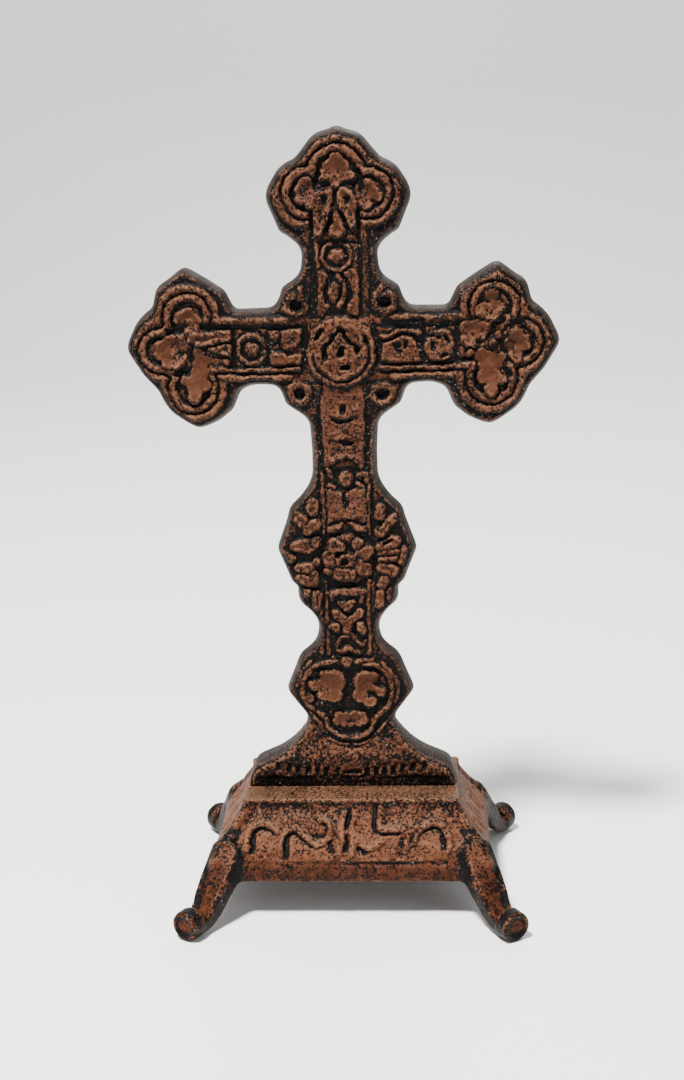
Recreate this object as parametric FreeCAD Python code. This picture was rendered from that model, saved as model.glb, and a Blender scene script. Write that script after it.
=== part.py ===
import FreeCAD, Part
import math
import os

# A cast iron altar cross on a footed stand.
# Frame: X to the right, the front faces -Y, Z up, origin at the middle of the base on the table.
# All sizes are in millimetres.

# ---- cross casting: outline of the right half, clockwise from the top tip ----
# Each row is x, z and the rise of the arc that leads to the point: 0 is straight, + bulges out.
CROSS_TOP = 266.7
ARM_Z = 195.3
ARM_HALF_HEIGHT = 12.9
ARM_TIP_X = 72.5
SHAFT_HALF_WIDTH = 11.2
SEAT_Z = 40.0
FOOT_HALF_WIDTH = 36.8

TOP_LOBE = [
    (14.5, CROSS_TOP - 10.7, 2.6),
    (24.0, CROSS_TOP - 21.7, 1.3),
    (19.5, CROSS_TOP - 34.2, 0.8),
    (19.7, ARM_Z + 19.4, -6.8),
    (23.5, ARM_Z + ARM_HALF_HEIGHT, -0.6),
    (34.5, ARM_Z + ARM_HALF_HEIGHT, 0),
]
SIDE_LOBE_UPPER = [
    (37.7, ARM_Z + 19.6, -0.8),
    (51.0, ARM_Z + 27.0, 1.0),
    (63.3, ARM_Z + 13.5, 1.8),
    (ARM_TIP_X, ARM_Z, 2.2),
]
SIDE_LOBE_LOWER = [
    (63.3, ARM_Z - 13.5, 2.2),
    (51.0, ARM_Z - 27.0, 1.8),
    (37.7, ARM_Z - 19.6, 1.0),
    (34.5, ARM_Z - ARM_HALF_HEIGHT, -0.8),
    (23.0, ARM_Z - ARM_HALF_HEIGHT, 0),
    (19.2, ARM_Z - 20.1, -0.7),
]
SHAFT_SIDE = [
    (SHAFT_HALF_WIDTH, 168.5, -1.0),
    (SHAFT_HALF_WIDTH, 152.0, 0),
    (18.7, 141.0, -1.3),
    (24.0, 125.5, 0),
    (20.0, 114.5, 0),
    (17.3, 112.0, 0),
    (17.2, 107.5, 0),
    (10.5, 97.0, -1.1),
    (16.7, 88.0, -1.4),
    (22.5, 74.5, 0),
    (15.7, 64.0, 0),
]
FOOT_SIDE = [
    (30.5, 48.0, -2.3),
    (FOOT_HALF_WIDTH, 41.0, 1.5),
    (FOOT_HALF_WIDTH, SEAT_Z - 5.0, 0),
]

# ---- cross casting: thickness and relief ----
HALF_THICKNESS = 5.5
DRAFT = 2.0
RIM_WIDTH = 4.6
PANEL_DEPTH = 0.8
FOOT_TOP_Z = 66.0
FOOT_TOE_Z = SEAT_Z + 4.0
FOOT_HALF_THICKNESS = 8.0
RELIEF_HEIGHT = 0.8
# Deeper than either casting is thick; cutting blocks are made this deep.
CUTTER_DEPTH = 140.0
# Raised rings: x, z, outer radius, inner radius.
RINGS = [
    (0, 193.0, 11.5, 9.0),
    (0, 193.0, 6.0, 1.2),
    (30.8, 195.0, 5.2, 3.4),
    (-30.8, 195.0, 5.2, 3.4),
    (0, 225.0, 5.2, 3.4),
    (14.5, 209.8, 4.0, 2.0),
    (-14.5, 209.8, 4.0, 2.0),
    (14.5, 180.2, 4.0, 2.0),
    (-14.5, 180.2, 4.0, 2.0),
    (0, 122.5, 8.0, 2.2),
]
# Raised bosses: x, z, radius.
BOSSES = [
    (0, 150.5, 1.8),
    (-4.3, 98.0, 2.2),
    (4.3, 98.0, 2.2),
    (0, 85.5, 2.4),
]

# ---- stand casting ----
# Levels of the body below its straight top edge: z, half width, half depth.
SEAT_EDGE = (SEAT_Z, 37.8, 19.6)
LOWER_SEAT_EDGE = (36.5, 38.4, 20.2)
FLARE_LEVELS = [
    (31.0, 42.0, 23.4),
    (26.0, 46.2, 27.2),
    (21.5, 49.2, 30.6),
    (13.5, 48.4, 30.0),
]
TOP_WALL = 4.0
SIDE_WALL = 3.6
CAVITY_OVERRUN = 12.0

KNEE_X = 45.0
KNEE_Y = 29.0
SPLAY_ANGLE = 57.0
# Leg sections: distance out along the splay, z, width, thickness.
LEG_SECTIONS = [
    (-4.0, 24.5, 13.0, 7.0),
    (0.5, 18.0, 13.0, 7.4),
    (4.0, 12.0, 11.0, 6.6),
    (8.0, 7.0, 9.4, 5.6),
    (13.0, 3.9, 9.0, 5.0),
    (18.0, 3.3, 9.0, 5.2),
]
KNOB_RADIUS = 5.3
KNOB_CENTRE_Z = 5.0
KNOB_START = 14.0
KNOB_END = 20.8
KNOB_ROUND = 1.2
# Height of the block that trims the feet flat on the table.
TRIM_HEIGHT = 10.0

# ---- fixing hardware ----
SCREW_X = 22.0
SCREW_RADIUS = 2.05
TAPPED_RADIUS = 2.1
TAPPED_DEPTH = 9.5
CLEARANCE_RADIUS = 2.75
CLEARANCE_DEPTH = 12.0
SEAT_BOSS_RADIUS = 6.8
SEAT_BOSS_HEIGHT = 2.5
SEAT_BOSS_OVERLAP = 1.0
# Washers: outer radius, inner radius, height.
PLAIN_WASHER = (5.5, 2.75, 1.0)
LOCK_WASHER = (4.6, 2.6, 1.2)
LOCK_GAP = 1.0
LOCK_SPLIT_ANGLE = 30.0
HEAD_RADIUS = 4.7
HEAD_HEIGHT = 3.3
HEAD_ROUND = 1.1
SLOT_WIDTH = 1.2
SLOT_DEPTH = 1.4
SCREW_LENGTH = 16.0
SCREW_TIP_CHAMFER = 0.5


def point(x, z, y=0.0):
    return FreeCAD.Vector(x, y, z)


def bulged_edge(start, end, rise):
    """Edge between two (x, z) points: straight, or an arc that rises to the left of the way."""
    if rise == 0:
        return Part.LineSegment(point(*start), point(*end)).toShape()
    dx = end[0] - start[0]
    dz = end[1] - start[1]
    length = math.hypot(dx, dz)
    middle = ((start[0] + end[0]) / 2 - rise * dz / length,
              (start[1] + end[1]) / 2 + rise * dx / length)
    return Part.Arc(point(*start), point(*middle), point(*end)).toShape()


def half_edges(start, rows):
    edges = []
    for x, z, rise in rows:
        edges.append(bulged_edge(start, (x, z), rise))
        start = (x, z)
    return edges


def mirrored_face(start, rows, bottom_z):
    """Face of the whole outline, from its right half."""
    right = half_edges(start, rows)
    left = [edge.mirror(FreeCAD.Vector(), FreeCAD.Vector(1, 0, 0)) for edge in right]
    last_x = rows[-1][0]
    closing = [Part.LineSegment(point(last_x, bottom_z), point(-last_x, bottom_z)).toShape()]
    if start[0] > 0:
        closing.append(Part.LineSegment(point(*start), point(-start[0], start[1])).toShape())
    wire = Part.Wire(Part.__sortEdges__(right + left + closing))
    return Part.Face(wire)


def drafted_slab(face, half_thickness, draft):
    """Slab that is full size at its parting line and slopes in to both faces."""
    inset = face.makeOffset2D(-draft, 2, False, False, False).OuterWire
    inset.translate(FreeCAD.Vector(0, -half_thickness, 0))
    front = Part.makeLoft([face.OuterWire, inset], True, True)
    back = front.mirror(FreeCAD.Vector(), FreeCAD.Vector(0, 1, 0))
    return front.fuse(back).removeSplitter()


def cylinder_y(x, z, radius, y_from, y_to):
    return Part.makeCylinder(radius, y_to - y_from, point(x, z, y_from), FreeCAD.Vector(0, 1, 0))


def both_sides(shape):
    """The shape and its copy on the back of the cross."""
    back = shape.mirror(FreeCAD.Vector(), FreeCAD.Vector(0, 1, 0))
    return [shape, back]


def cross_plate():
    """Whole cross at the thickness of its shaft, with a sunken panel inside the rim."""
    rows = TOP_LOBE + SIDE_LOBE_UPPER + SIDE_LOBE_LOWER + SHAFT_SIDE + FOOT_SIDE
    face = mirrored_face((0, CROSS_TOP), rows, rows[-1][1])
    plate = drafted_slab(face, HALF_THICKNESS, DRAFT)
    panel = face.makeOffset2D(-RIM_WIDTH, 2, False, False, False)
    panel.translate(FreeCAD.Vector(0, -HALF_THICKNESS, 0))
    pocket = panel.extrude(FreeCAD.Vector(0, PANEL_DEPTH, 0))
    for side in both_sides(pocket):
        plate = plate.cut(side)
    return plate


def relief():
    """Raised rings and bosses on the sunken panel, front and back."""
    pieces = []
    floor_y = HALF_THICKNESS - PANEL_DEPTH
    y_from = -floor_y - RELIEF_HEIGHT
    for x, z, outer, inner in RINGS:
        ring = cylinder_y(x, z, outer, y_from, 0)
        bore = cylinder_y(x, z, inner, y_from, -floor_y)
        pieces.extend(both_sides(ring.cut(bore)))
    for x, z, radius in BOSSES:
        pieces.extend(both_sides(cylinder_y(x, z, radius, y_from, 0)))
    return pieces


def foot_block():
    """Flared foot of the cross, which grows thicker towards its seat."""
    start = (SHAFT_SIDE[-1][0], SHAFT_SIDE[-1][1])
    face = mirrored_face(start, FOOT_SIDE, FOOT_SIDE[-1][1])
    block = drafted_slab(face, FOOT_HALF_THICKNESS, DRAFT)
    corners = [
        (-HALF_THICKNESS, FOOT_TOP_Z),
        (-FOOT_HALF_THICKNESS, FOOT_TOE_Z),
        (-FOOT_HALF_THICKNESS, SEAT_Z),
        (FOOT_HALF_THICKNESS, SEAT_Z),
        (FOOT_HALF_THICKNESS, FOOT_TOE_Z),
        (HALF_THICKNESS, FOOT_TOP_Z),
    ]
    loop = [FreeCAD.Vector(-FOOT_HALF_WIDTH, y, z) for y, z in corners]
    wedge = Part.Face(Part.makePolygon(loop + loop[:1]))
    wedge = wedge.extrude(FreeCAD.Vector(2 * FOOT_HALF_WIDTH, 0, 0))
    return block.common(wedge)


def make_cross():
    body = cross_plate().fuse([foot_block()] + relief())
    below = Part.makeBox(CUTTER_DEPTH, CUTTER_DEPTH, SEAT_Z,
                         FreeCAD.Vector(-CUTTER_DEPTH / 2, -CUTTER_DEPTH / 2, 0))
    body = body.cut(below).removeSplitter()
    for x in (-SCREW_X, SCREW_X):
        hole = Part.makeCylinder(TAPPED_RADIUS, TAPPED_DEPTH, point(x, SEAT_Z))
        body = body.cut(hole)
    return body


def rectangle(z, half_width, half_depth):
    corners = [(-half_width, -half_depth), (half_width, -half_depth),
               (half_width, half_depth), (-half_width, half_depth)]
    loop = [FreeCAD.Vector(x, y, z) for x, y in corners]
    return Part.makePolygon(loop + loop[:1])


def flared_body():
    """The body as a solid block, and the cavity to cut from it."""
    levels = [SEAT_EDGE, LOWER_SEAT_EDGE] + FLARE_LEVELS
    outer = Part.makeLoft([rectangle(*level) for level in levels], True, True)
    seat_z, seat_width, seat_depth = SEAT_EDGE
    low_z, low_width, low_depth = FLARE_LEVELS[-1]
    levels = [(seat_z - TOP_WALL, seat_width, seat_depth)] + FLARE_LEVELS
    levels.append((low_z - CAVITY_OVERRUN, low_width, low_depth))
    inner = Part.makeLoft([rectangle(z, width - SIDE_WALL, depth - SIDE_WALL)
                           for z, width, depth in levels], True, True)
    return outer, inner


def leg_section(section, before, after):
    """Rectangle square to the leg's way, in the plane of X (out) and Z."""
    out, z, width, thickness = section
    slope = math.atan2(after[1] - before[1], after[0] - before[0])
    normal = (-math.sin(slope), math.cos(slope))
    corners = []
    for across, along in ((-1, -1), (1, -1), (1, 1), (-1, 1)):
        shift = along * thickness / 2
        corners.append(FreeCAD.Vector(out + normal[0] * shift, across * width / 2,
                                      z + normal[1] * shift))
    return Part.makePolygon(corners + corners[:1])


def front_right_leg():
    """Leg that runs out and down from the knee and ends in a round knob."""
    wires = []
    last = len(LEG_SECTIONS) - 1
    for i, section in enumerate(LEG_SECTIONS):
        before = LEG_SECTIONS[max(i - 1, 0)]
        after = LEG_SECTIONS[min(i + 1, last)]
        wires.append(leg_section(section, before, after))
    strap = Part.makeLoft(wires, True, False)
    knob = Part.makeCylinder(KNOB_RADIUS, KNOB_END - KNOB_START,
                             FreeCAD.Vector(KNOB_START, 0, KNOB_CENTRE_Z), FreeCAD.Vector(1, 0, 0))
    rims = [edge for edge in knob.Edges if isinstance(edge.Curve, Part.Circle)]
    knob = knob.makeFillet(KNOB_ROUND, rims)
    leg = strap.fuse(knob)
    below = Part.makeBox(CUTTER_DEPTH, CUTTER_DEPTH, TRIM_HEIGHT,
                         FreeCAD.Vector(-CUTTER_DEPTH / 2, -CUTTER_DEPTH / 2, -TRIM_HEIGHT))
    leg = leg.cut(below)
    leg.rotate(FreeCAD.Vector(), FreeCAD.Vector(0, 0, 1), -SPLAY_ANGLE)
    leg.translate(FreeCAD.Vector(KNEE_X, -KNEE_Y, 0))
    return leg


def four_legs():
    right_front = front_right_leg()
    left_front = right_front.mirror(FreeCAD.Vector(), FreeCAD.Vector(1, 0, 0))
    legs = [right_front, left_front]
    for leg in (right_front, left_front):
        legs.append(leg.mirror(FreeCAD.Vector(), FreeCAD.Vector(0, 1, 0)))
    return legs


def make_stand():
    outer, inner = flared_body()
    body = outer.fuse(four_legs()).cut(inner)
    boss_z = SEAT_Z - TOP_WALL - SEAT_BOSS_HEIGHT
    boss_height = SEAT_BOSS_HEIGHT + SEAT_BOSS_OVERLAP
    for x in (-SCREW_X, SCREW_X):
        body = body.fuse(Part.makeCylinder(SEAT_BOSS_RADIUS, boss_height, point(x, boss_z)))
        hole = Part.makeCylinder(CLEARANCE_RADIUS, CLEARANCE_DEPTH, point(x, SEAT_Z - CLEARANCE_DEPTH))
        body = body.cut(hole)
    return body.removeSplitter()


def washer(radii_height, x, top_z):
    outer, inner, height = radii_height
    disc = Part.makeCylinder(outer, height, point(x, top_z - height))
    return disc.cut(Part.makeCylinder(inner, height, point(x, top_z - height)))


def lock_washer(x, top_z):
    """Spring washer with its slanted split."""
    ring = washer(LOCK_WASHER, x, top_z)
    outer, _, height = LOCK_WASHER
    split = Part.makeBox(2 * outer, LOCK_GAP, 2 * outer,
                         FreeCAD.Vector(0, -LOCK_GAP / 2, -outer))
    split.rotate(FreeCAD.Vector(), FreeCAD.Vector(1, 0, 0), LOCK_SPLIT_ANGLE)
    split.translate(point(x, top_z - height / 2))
    return ring.cut(split)


def end_rim(solid, z):
    """Round edge of a solid at one height."""
    return [edge for edge in solid.Edges
            if isinstance(edge.Curve, Part.Circle) and abs(edge.CenterOfMass.z - z) < SCREW_TIP_CHAMFER]


def screw(x, bearing_z):
    """Slotted pan-head screw, head down."""
    head_z = bearing_z - HEAD_HEIGHT
    head = Part.makeCylinder(HEAD_RADIUS, HEAD_HEIGHT, point(x, head_z))
    head = head.makeFillet(HEAD_ROUND, end_rim(head, head_z))
    slot = Part.makeBox(4 * HEAD_RADIUS, SLOT_WIDTH, SLOT_DEPTH,
                        point(x - 2 * HEAD_RADIUS, head_z, -SLOT_WIDTH / 2))
    shank = Part.makeCylinder(SCREW_RADIUS, SCREW_LENGTH, point(x, bearing_z))
    tip = end_rim(shank, bearing_z + SCREW_LENGTH)
    shank = shank.makeChamfer(SCREW_TIP_CHAMFER, tip)
    return head.cut(slot).fuse(shank)


def make_hardware():
    parts = {}
    boss_z = SEAT_Z - TOP_WALL - SEAT_BOSS_HEIGHT
    lock_z = boss_z - PLAIN_WASHER[2]
    bearing_z = lock_z - LOCK_WASHER[2]
    for side, x in (("left", -SCREW_X), ("right", SCREW_X)):
        parts["plain_washer_" + side] = washer(PLAIN_WASHER, x, boss_z)
        parts["lock_washer_" + side] = lock_washer(x, lock_z)
        parts["screw_" + side] = screw(x, bearing_z)
    return parts


def main():
    os.makedirs("parts", exist_ok=True)
    parts = {"cross": make_cross(), "stand": make_stand()}
    parts.update(make_hardware())
    for name, shape in parts.items():
        solid = shape.Solids[0]
        solid.exportStep("parts/" + name + ".step")
        box = solid.optimalBoundingBox(False)
        print(name, "valid", solid.isValid(), "solids", len(shape.Solids),
              "volume %.0f" % solid.Volume, "z %.1f to %.1f" % (box.ZMin, box.ZMax),
              "x %.1f y %.1f" % (box.XMax, box.YMax))


main()
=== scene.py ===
import bpy
import math
import numpy as np
from mathutils import Matrix, Vector


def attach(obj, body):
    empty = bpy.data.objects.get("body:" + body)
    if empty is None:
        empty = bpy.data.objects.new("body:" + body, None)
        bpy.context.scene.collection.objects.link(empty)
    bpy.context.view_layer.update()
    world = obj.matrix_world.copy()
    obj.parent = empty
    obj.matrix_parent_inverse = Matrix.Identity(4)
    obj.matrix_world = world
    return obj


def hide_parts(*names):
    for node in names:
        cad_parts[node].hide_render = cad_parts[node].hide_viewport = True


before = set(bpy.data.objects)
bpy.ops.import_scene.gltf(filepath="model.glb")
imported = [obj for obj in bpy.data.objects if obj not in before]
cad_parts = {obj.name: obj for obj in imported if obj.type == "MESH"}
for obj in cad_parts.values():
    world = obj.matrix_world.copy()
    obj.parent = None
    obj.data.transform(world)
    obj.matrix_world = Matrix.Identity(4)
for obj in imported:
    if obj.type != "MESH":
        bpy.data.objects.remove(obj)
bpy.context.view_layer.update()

# The relief is drawn in millimetres, in the part's own frame: X right, the front faces -Y, Z up.
MM = 0.001


# ---------------------------------------------------------------- camera, floor and light

CAMERA_AT = (0.0301, -0.5357, 0.2647)
CAMERA_YAW = 3.40
CAMERA_PITCH = 14.30
CAMERA_ROLL = -1.54
CAMERA_LENS = 53.5
SENSOR = 36.0
# Lamps: name, place, where it aims, width, power, colour.
LAMPS = [
    ("key_light", (-0.30, -0.50, 1.35), (0, 0, 0.13), 0.24, 76.0, (1.0, 0.98, 0.95)),
    ("fill_light", (1.1, -0.9, 0.7), (0, 0, 0.12), 1.0, 4.0, (0.95, 0.97, 1.0)),
    ("back_light", (0.1, 1.2, 1.1), (0, 0, 0.12), 0.9, 14.0, (1.0, 1.0, 1.0)),
]
STUDIO_COLOUR = (0.90, 0.92, 0.95, 1)
STUDIO_STRENGTH = 0.40
FLOOR_HALF = 3.0
FLOOR_BEND_AT = 1.2
FLOOR_BEND_RADIUS = 0.8
FLOOR_BEND_STEPS = 12
FLOOR_COLOUR = (0.90, 0.90, 0.89, 1)
FLOOR_ROUGHNESS = 0.7


def smooth_mesh(name, verts, faces):
    mesh = bpy.data.meshes.new(name)
    mesh.from_pydata(verts, [], faces)
    mesh.polygons.foreach_set("use_smooth", [True] * len(faces))
    mesh.update()
    return mesh


def new_object(name, data):
    item = bpy.data.objects.new(name, data)
    bpy.context.collection.objects.link(item)
    return item


def add_camera():
    """Camera on the viewer's side of the cross, a little above and to the right."""
    data = bpy.data.cameras.new("camera")
    data.lens = CAMERA_LENS
    data.sensor_width = SENSOR
    data.clip_start = 0.01
    camera = new_object("camera", data)
    turn = Matrix.Rotation(math.radians(CAMERA_YAW), 4, "Z")
    tilt = Matrix.Rotation(math.radians(90 - CAMERA_PITCH), 4, "X")
    roll = Matrix.Rotation(math.radians(CAMERA_ROLL), 4, "Z")
    camera.matrix_world = Matrix.Translation(CAMERA_AT) @ turn @ tilt @ roll
    bpy.context.scene.camera = camera


def add_lamp(name, place, aim, size, power, colour):
    data = bpy.data.lights.new(name, "AREA")
    data.shape = "DISK"
    data.size = size
    data.energy = power
    data.color = colour
    lamp = new_object(name, data)
    lamp.location = place
    direction = Vector(aim) - Vector(place)
    lamp.rotation_euler = direction.to_track_quat("-Z", "Y").to_euler()


def add_light():
    for lamp in LAMPS:
        add_lamp(*lamp)
    world = bpy.data.worlds.new("studio")
    world.use_nodes = True
    background = world.node_tree.nodes["Background"]
    background.inputs["Color"].default_value = STUDIO_COLOUR
    background.inputs["Strength"].default_value = STUDIO_STRENGTH
    bpy.context.scene.world = world


def add_floor():
    """Plain pale floor that curves up far behind the object."""
    profile = [(-FLOOR_HALF, 0.0), (FLOOR_BEND_AT, 0.0)]
    for i in range(1, FLOOR_BEND_STEPS + 1):
        angle = math.pi / 2 * i / FLOOR_BEND_STEPS
        y = FLOOR_BEND_AT + FLOOR_BEND_RADIUS * math.sin(angle)
        profile.append((y, FLOOR_BEND_RADIUS * (1 - math.cos(angle))))
    profile.append((FLOOR_BEND_AT + FLOOR_BEND_RADIUS, FLOOR_HALF))
    verts = [(x, y, z) for y, z in profile for x in (-FLOOR_HALF, FLOOR_HALF)]
    faces = [(k, k + 1, k + 3, k + 2) for k in range(0, len(verts) - 2, 2)]
    floor = new_object("floor", smooth_mesh("floor", verts, faces))
    material = bpy.data.materials.new("floor_paint")
    material.use_nodes = True
    shader = material.node_tree.nodes["Principled BSDF"]
    shader.inputs["Base Color"].default_value = FLOOR_COLOUR
    shader.inputs["Roughness"].default_value = FLOOR_ROUGHNESS
    floor.data.materials.append(material)


# ---------------------------------------------------------------- drawing tools for relief

NOISE_CELLS = 64
NOISE_SHIFT = 1000.0
CURVE_STEPS = 4
FAR = 1e9


def lattice_noise(x, z, cell, seed):
    """Smooth noise from -1 to 1 on a square lattice."""
    n = NOISE_CELLS
    table = np.random.default_rng(seed).uniform(-1, 1, (n, n))
    u, v = np.asarray(x) / cell + NOISE_SHIFT, np.asarray(z) / cell + NOISE_SHIFT
    i, j = np.floor(u).astype(int), np.floor(v).astype(int)
    fu, fv = u - i, v - j
    fu = fu * fu * (3 - 2 * fu)
    fv = fv * fv * (3 - 2 * fv)
    low = table[i % n, j % n] * (1 - fu) + table[(i + 1) % n, j % n] * fu
    high = table[i % n, (j + 1) % n] * (1 - fu) + table[(i + 1) % n, (j + 1) % n] * fu
    return low * (1 - fv) + high * fv


def patchy(x, z, seed, low):
    """Uneven wear, from low to 1: how completely black still fills a recess."""
    value = 0.6 * lattice_noise(x, z, 3.6, seed) + 0.4 * lattice_noise(x, z, 1.2, seed + 1)
    return low + (1 - low) * smooth_step(-0.40, 0.30, value)


def curve_points(p0, p1, p2, p3):
    """Points from each p1 up to p2 on the smooth curve through p0, p1, p2 and p3."""
    parts = []
    for i in range(CURVE_STEPS):
        t = i / CURVE_STEPS
        parts.append(0.5 * (2 * p1 + (p2 - p0) * t + (2 * p0 - 5 * p1 + 4 * p2 - p3) * t ** 2
                            + (3 * p1 - p0 - 3 * p2 + p3) * t ** 3))
    return np.stack(parts, 1).reshape(-1, p1.shape[1])


def eased_chain(chain):
    """The same chain with its bends drawn as smooth curves through the knots."""
    knots = np.array(chain, dtype=float)
    if len(knots) < 3:
        return knots
    before = np.vstack([2 * knots[0] - knots[1], knots[:-2]])
    after = np.vstack([knots[2:], 2 * knots[-1] - knots[-2]])
    return np.vstack([curve_points(before, knots[:-1], knots[1:], after), knots[-1]])


def closed_curve(points):
    """Smooth closed curve through the points."""
    p = np.array(points, dtype=float)
    return curve_points(np.roll(p, 1, 0), p, np.roll(p, -1, 0), np.roll(p, -2, 0))


def chain_depth(x, z, chain):
    """How far inside a chain of (x, z, radius) knots each point is; negative outside."""
    knots = eased_chain(chain)
    if len(knots) == 1:
        cx, cz, r = knots[0]
        return r - np.hypot(x - cx, z - cz)
    depth = np.full(np.shape(x), -FAR)
    for (ax, az, ar), (bx, bz, br) in zip(knots, knots[1:]):
        dx, dz = bx - ax, bz - az
        t = np.clip(((x - ax) * dx + (z - az) * dz) / (dx * dx + dz * dz), 0, 1)
        distance = np.hypot(x - ax - t * dx, z - az - t * dz)
        depth = np.maximum(depth, ar + t * (br - ar) - distance)
    return depth


def rounded(depth, edge):
    """Quarter-round rise from 0 at the rim to 1 at depth edge."""
    u = np.clip(depth / edge, 0, 1)
    return np.sqrt(1 - (1 - u) ** 2)


def smooth_step(low, high, value):
    """0 before low, 1 after high, and a smooth rise between them; low may be the larger."""
    u = np.clip((value - low) / (high - low), 0, 1)
    return u * u * (3 - 2 * u)


def bead(value, centre, half_width):
    """Round bead along the line where value equals centre."""
    u = np.clip(np.abs(value - centre) / half_width, 0, 1)
    return np.sqrt(1 - u * u)


def joined(depth_a, depth_b, blend):
    """Union of two shapes given as depths, with a soft inner corner."""
    h = np.clip(0.5 + 0.5 * (depth_a - depth_b) / blend, 0, 1)
    return depth_b * (1 - h) + depth_a * h + blend * h * (1 - h)


def past_corner(dx, dy):
    """Distance from a square corner, given how far past each side a point is; negative inside."""
    return np.hypot(np.maximum(dx, 0), np.maximum(dy, 0)) + np.minimum(np.maximum(dx, dy), 0)


def box_depth(x, z, cx, cz, half_x, half_z):
    return -past_corner(np.abs(x - cx) - half_x, np.abs(z - cz) - half_z)


# ---------------------------------------------------------------- cross: outline

CROSS_TOP = 266.7
SEAT_Z = 40.0
HALF_THICKNESS = 5.5
FOOT_HALF_THICKNESS = 7.8
FLANK = 2.0
GROUND = 5.25
OUTLINE_STEP = 0.8

# Right half of the silhouette, clockwise from the tip: x, z, rise of the arc that leads there.
OUTLINE = [
    (0, 266.7, 0), (5.2, 264.9, -0.2), (9.2, 262.3, 0.4), (14.3, 256.2, -0.1), (17.8, 254.6, 0.2),
    (21.2, 250.6, 0.4), (23.8, 245.4, 0.3), (22.6, 240.2, 0.4), (19.6, 232.8, 0), (15.6, 230.3, -0.3),
    (12.8, 223.2, -1.4), (15.6, 217.4, -0.9), (19.6, 214.9, 0), (21, 210.6, -0.2), (23.6, 208.3, -0.4),
    (34.4, 208.1, 0), (36.4, 209.9, -0.5), (38.6, 214.4, 0), (44.4, 218.3, 0), (50.6, 222, 0),
    (53.2, 221.6, 0.4), (58, 217.9, 0), (61.8, 214.6, 0.5), (63.2, 209, 0), (67.6, 205.4, 0.2),
    (70.6, 200.4, 0.3), (72.4, 196.2, 0.2), (71.8, 193.6, 0.2), (67.4, 186.4, 0), (62.4, 180.8, 0),
    (59.8, 175.4, 0.2), (55.4, 171.4, 0.3), (50.4, 168.3, 0.1), (47.6, 168.3, 0.3), (41.4, 171, 0.2),
    (37.4, 174.2, 0), (35.4, 178.6, 0), (33.2, 181.4, -0.5), (29, 182.5, -0.2), (24, 182.3, 0),
    (21, 180.2, -0.5), (19.4, 175.6, 0), (14.6, 172.4, 0), (11.6, 168.6, -0.5), (11.1, 160, 0),
    (11.2, 152, 0), (13.6, 146.4, -0.4), (18.6, 141, -0.3), (20.2, 136.6, 0.3), (23.9, 126.4, 0),
    (23.7, 124.2, 0.4), (20.8, 117, 0), (19.6, 113.6, 0), (17.3, 111.9, 0), (17.4, 108, 0.2),
    (15.8, 105.2, 0.3), (11.6, 100.6, -0.3), (10.6, 97, -0.3), (12, 92, -0.3), (16.4, 88.2, -0.2),
    (18.8, 83.6, 0.3), (22.3, 75.2, 0), (22, 73.2, 0.3), (18.6, 68.6, 0), (15.9, 65, 0), (15.7, 62.6, -0.2),
    (18.2, 58.2, -0.3), (22, 54, -0.2), (27.6, 50.2, -0.2), (32.4, 48, 0.1), (35.6, 45.2, 0.6),
    (36.8, 41, 0.2), (36.8, 34, 0),
]


def sampled_arc(start, end, rise, step):
    """Points from start up to, but not including, end."""
    (ax, az), (bx, bz) = start, end
    chord = math.hypot(bx - ax, bz - az)
    count = max(2, int(chord / step))
    points = []
    for i in range(count):
        t = i / count
        lift = 4 * rise * t * (1 - t)
        points.append((ax + t * (bx - ax) - lift * (bz - az) / chord,
                       az + t * (bz - az) + lift * (bx - ax) / chord))
    return points


def closed_outline(rows):
    """Whole silhouette as a closed loop of points, its corners eased."""
    right = []
    for (ax, az, _), (bx, bz, rise) in zip(rows, rows[1:]):
        right.extend(sampled_arc((ax, az), (bx, bz), rise, OUTLINE_STEP))
    right.append(rows[-1][:2])
    right = np.array(right)
    left = right[::-1][:-1] * np.array([-1, 1])
    loop = np.vstack([right, left])
    seat = loop[:, 1] <= rows[-1][1] + 0.01
    for _ in range(2):
        eased = 0.25 * np.roll(loop, 1, 0) + 0.5 * loop + 0.25 * np.roll(loop, -1, 0)
        loop = np.where(seat[:, None], loop, eased)
    return loop


def nearest_on_loop(points, loop):
    """Signed distance (positive inside) and nearest point of the loop, for each point."""
    a, b = loop, np.roll(loop, -1, 0)
    ab = b - a
    length2 = (ab ** 2).sum(1)
    distance = np.empty(len(points))
    nearest = np.empty_like(points)
    chunk = 4000
    for start in range(0, len(points), chunk):
        p = points[start:start + chunk]
        ap = p[:, None, :] - a[None]
        t = np.clip((ap * ab[None]).sum(2) / length2[None], 0, 1)
        foot = a[None] + t[..., None] * ab[None]
        gap = ((p[:, None, :] - foot) ** 2).sum(2)
        best = gap.argmin(1)
        rows = np.arange(len(p))
        above = (a[None, :, 1] > p[:, 1:2]) != (b[None, :, 1] > p[:, 1:2])
        rise = np.where(ab[:, 1] == 0, 1e-12, ab[:, 1])
        cross_x = a[None, :, 0] + (p[:, 1:2] - a[None, :, 1]) / rise[None] * ab[None, :, 0]
        inside = (above & (p[:, 0:1] < cross_x)).sum(1) % 2 == 1
        distance[start:start + chunk] = np.sqrt(gap[rows, best]) * np.where(inside, 1, -1)
        nearest[start:start + chunk] = foot[rows, best]
    return distance, nearest


# ---------------------------------------------------------------- cross: ornament

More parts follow.
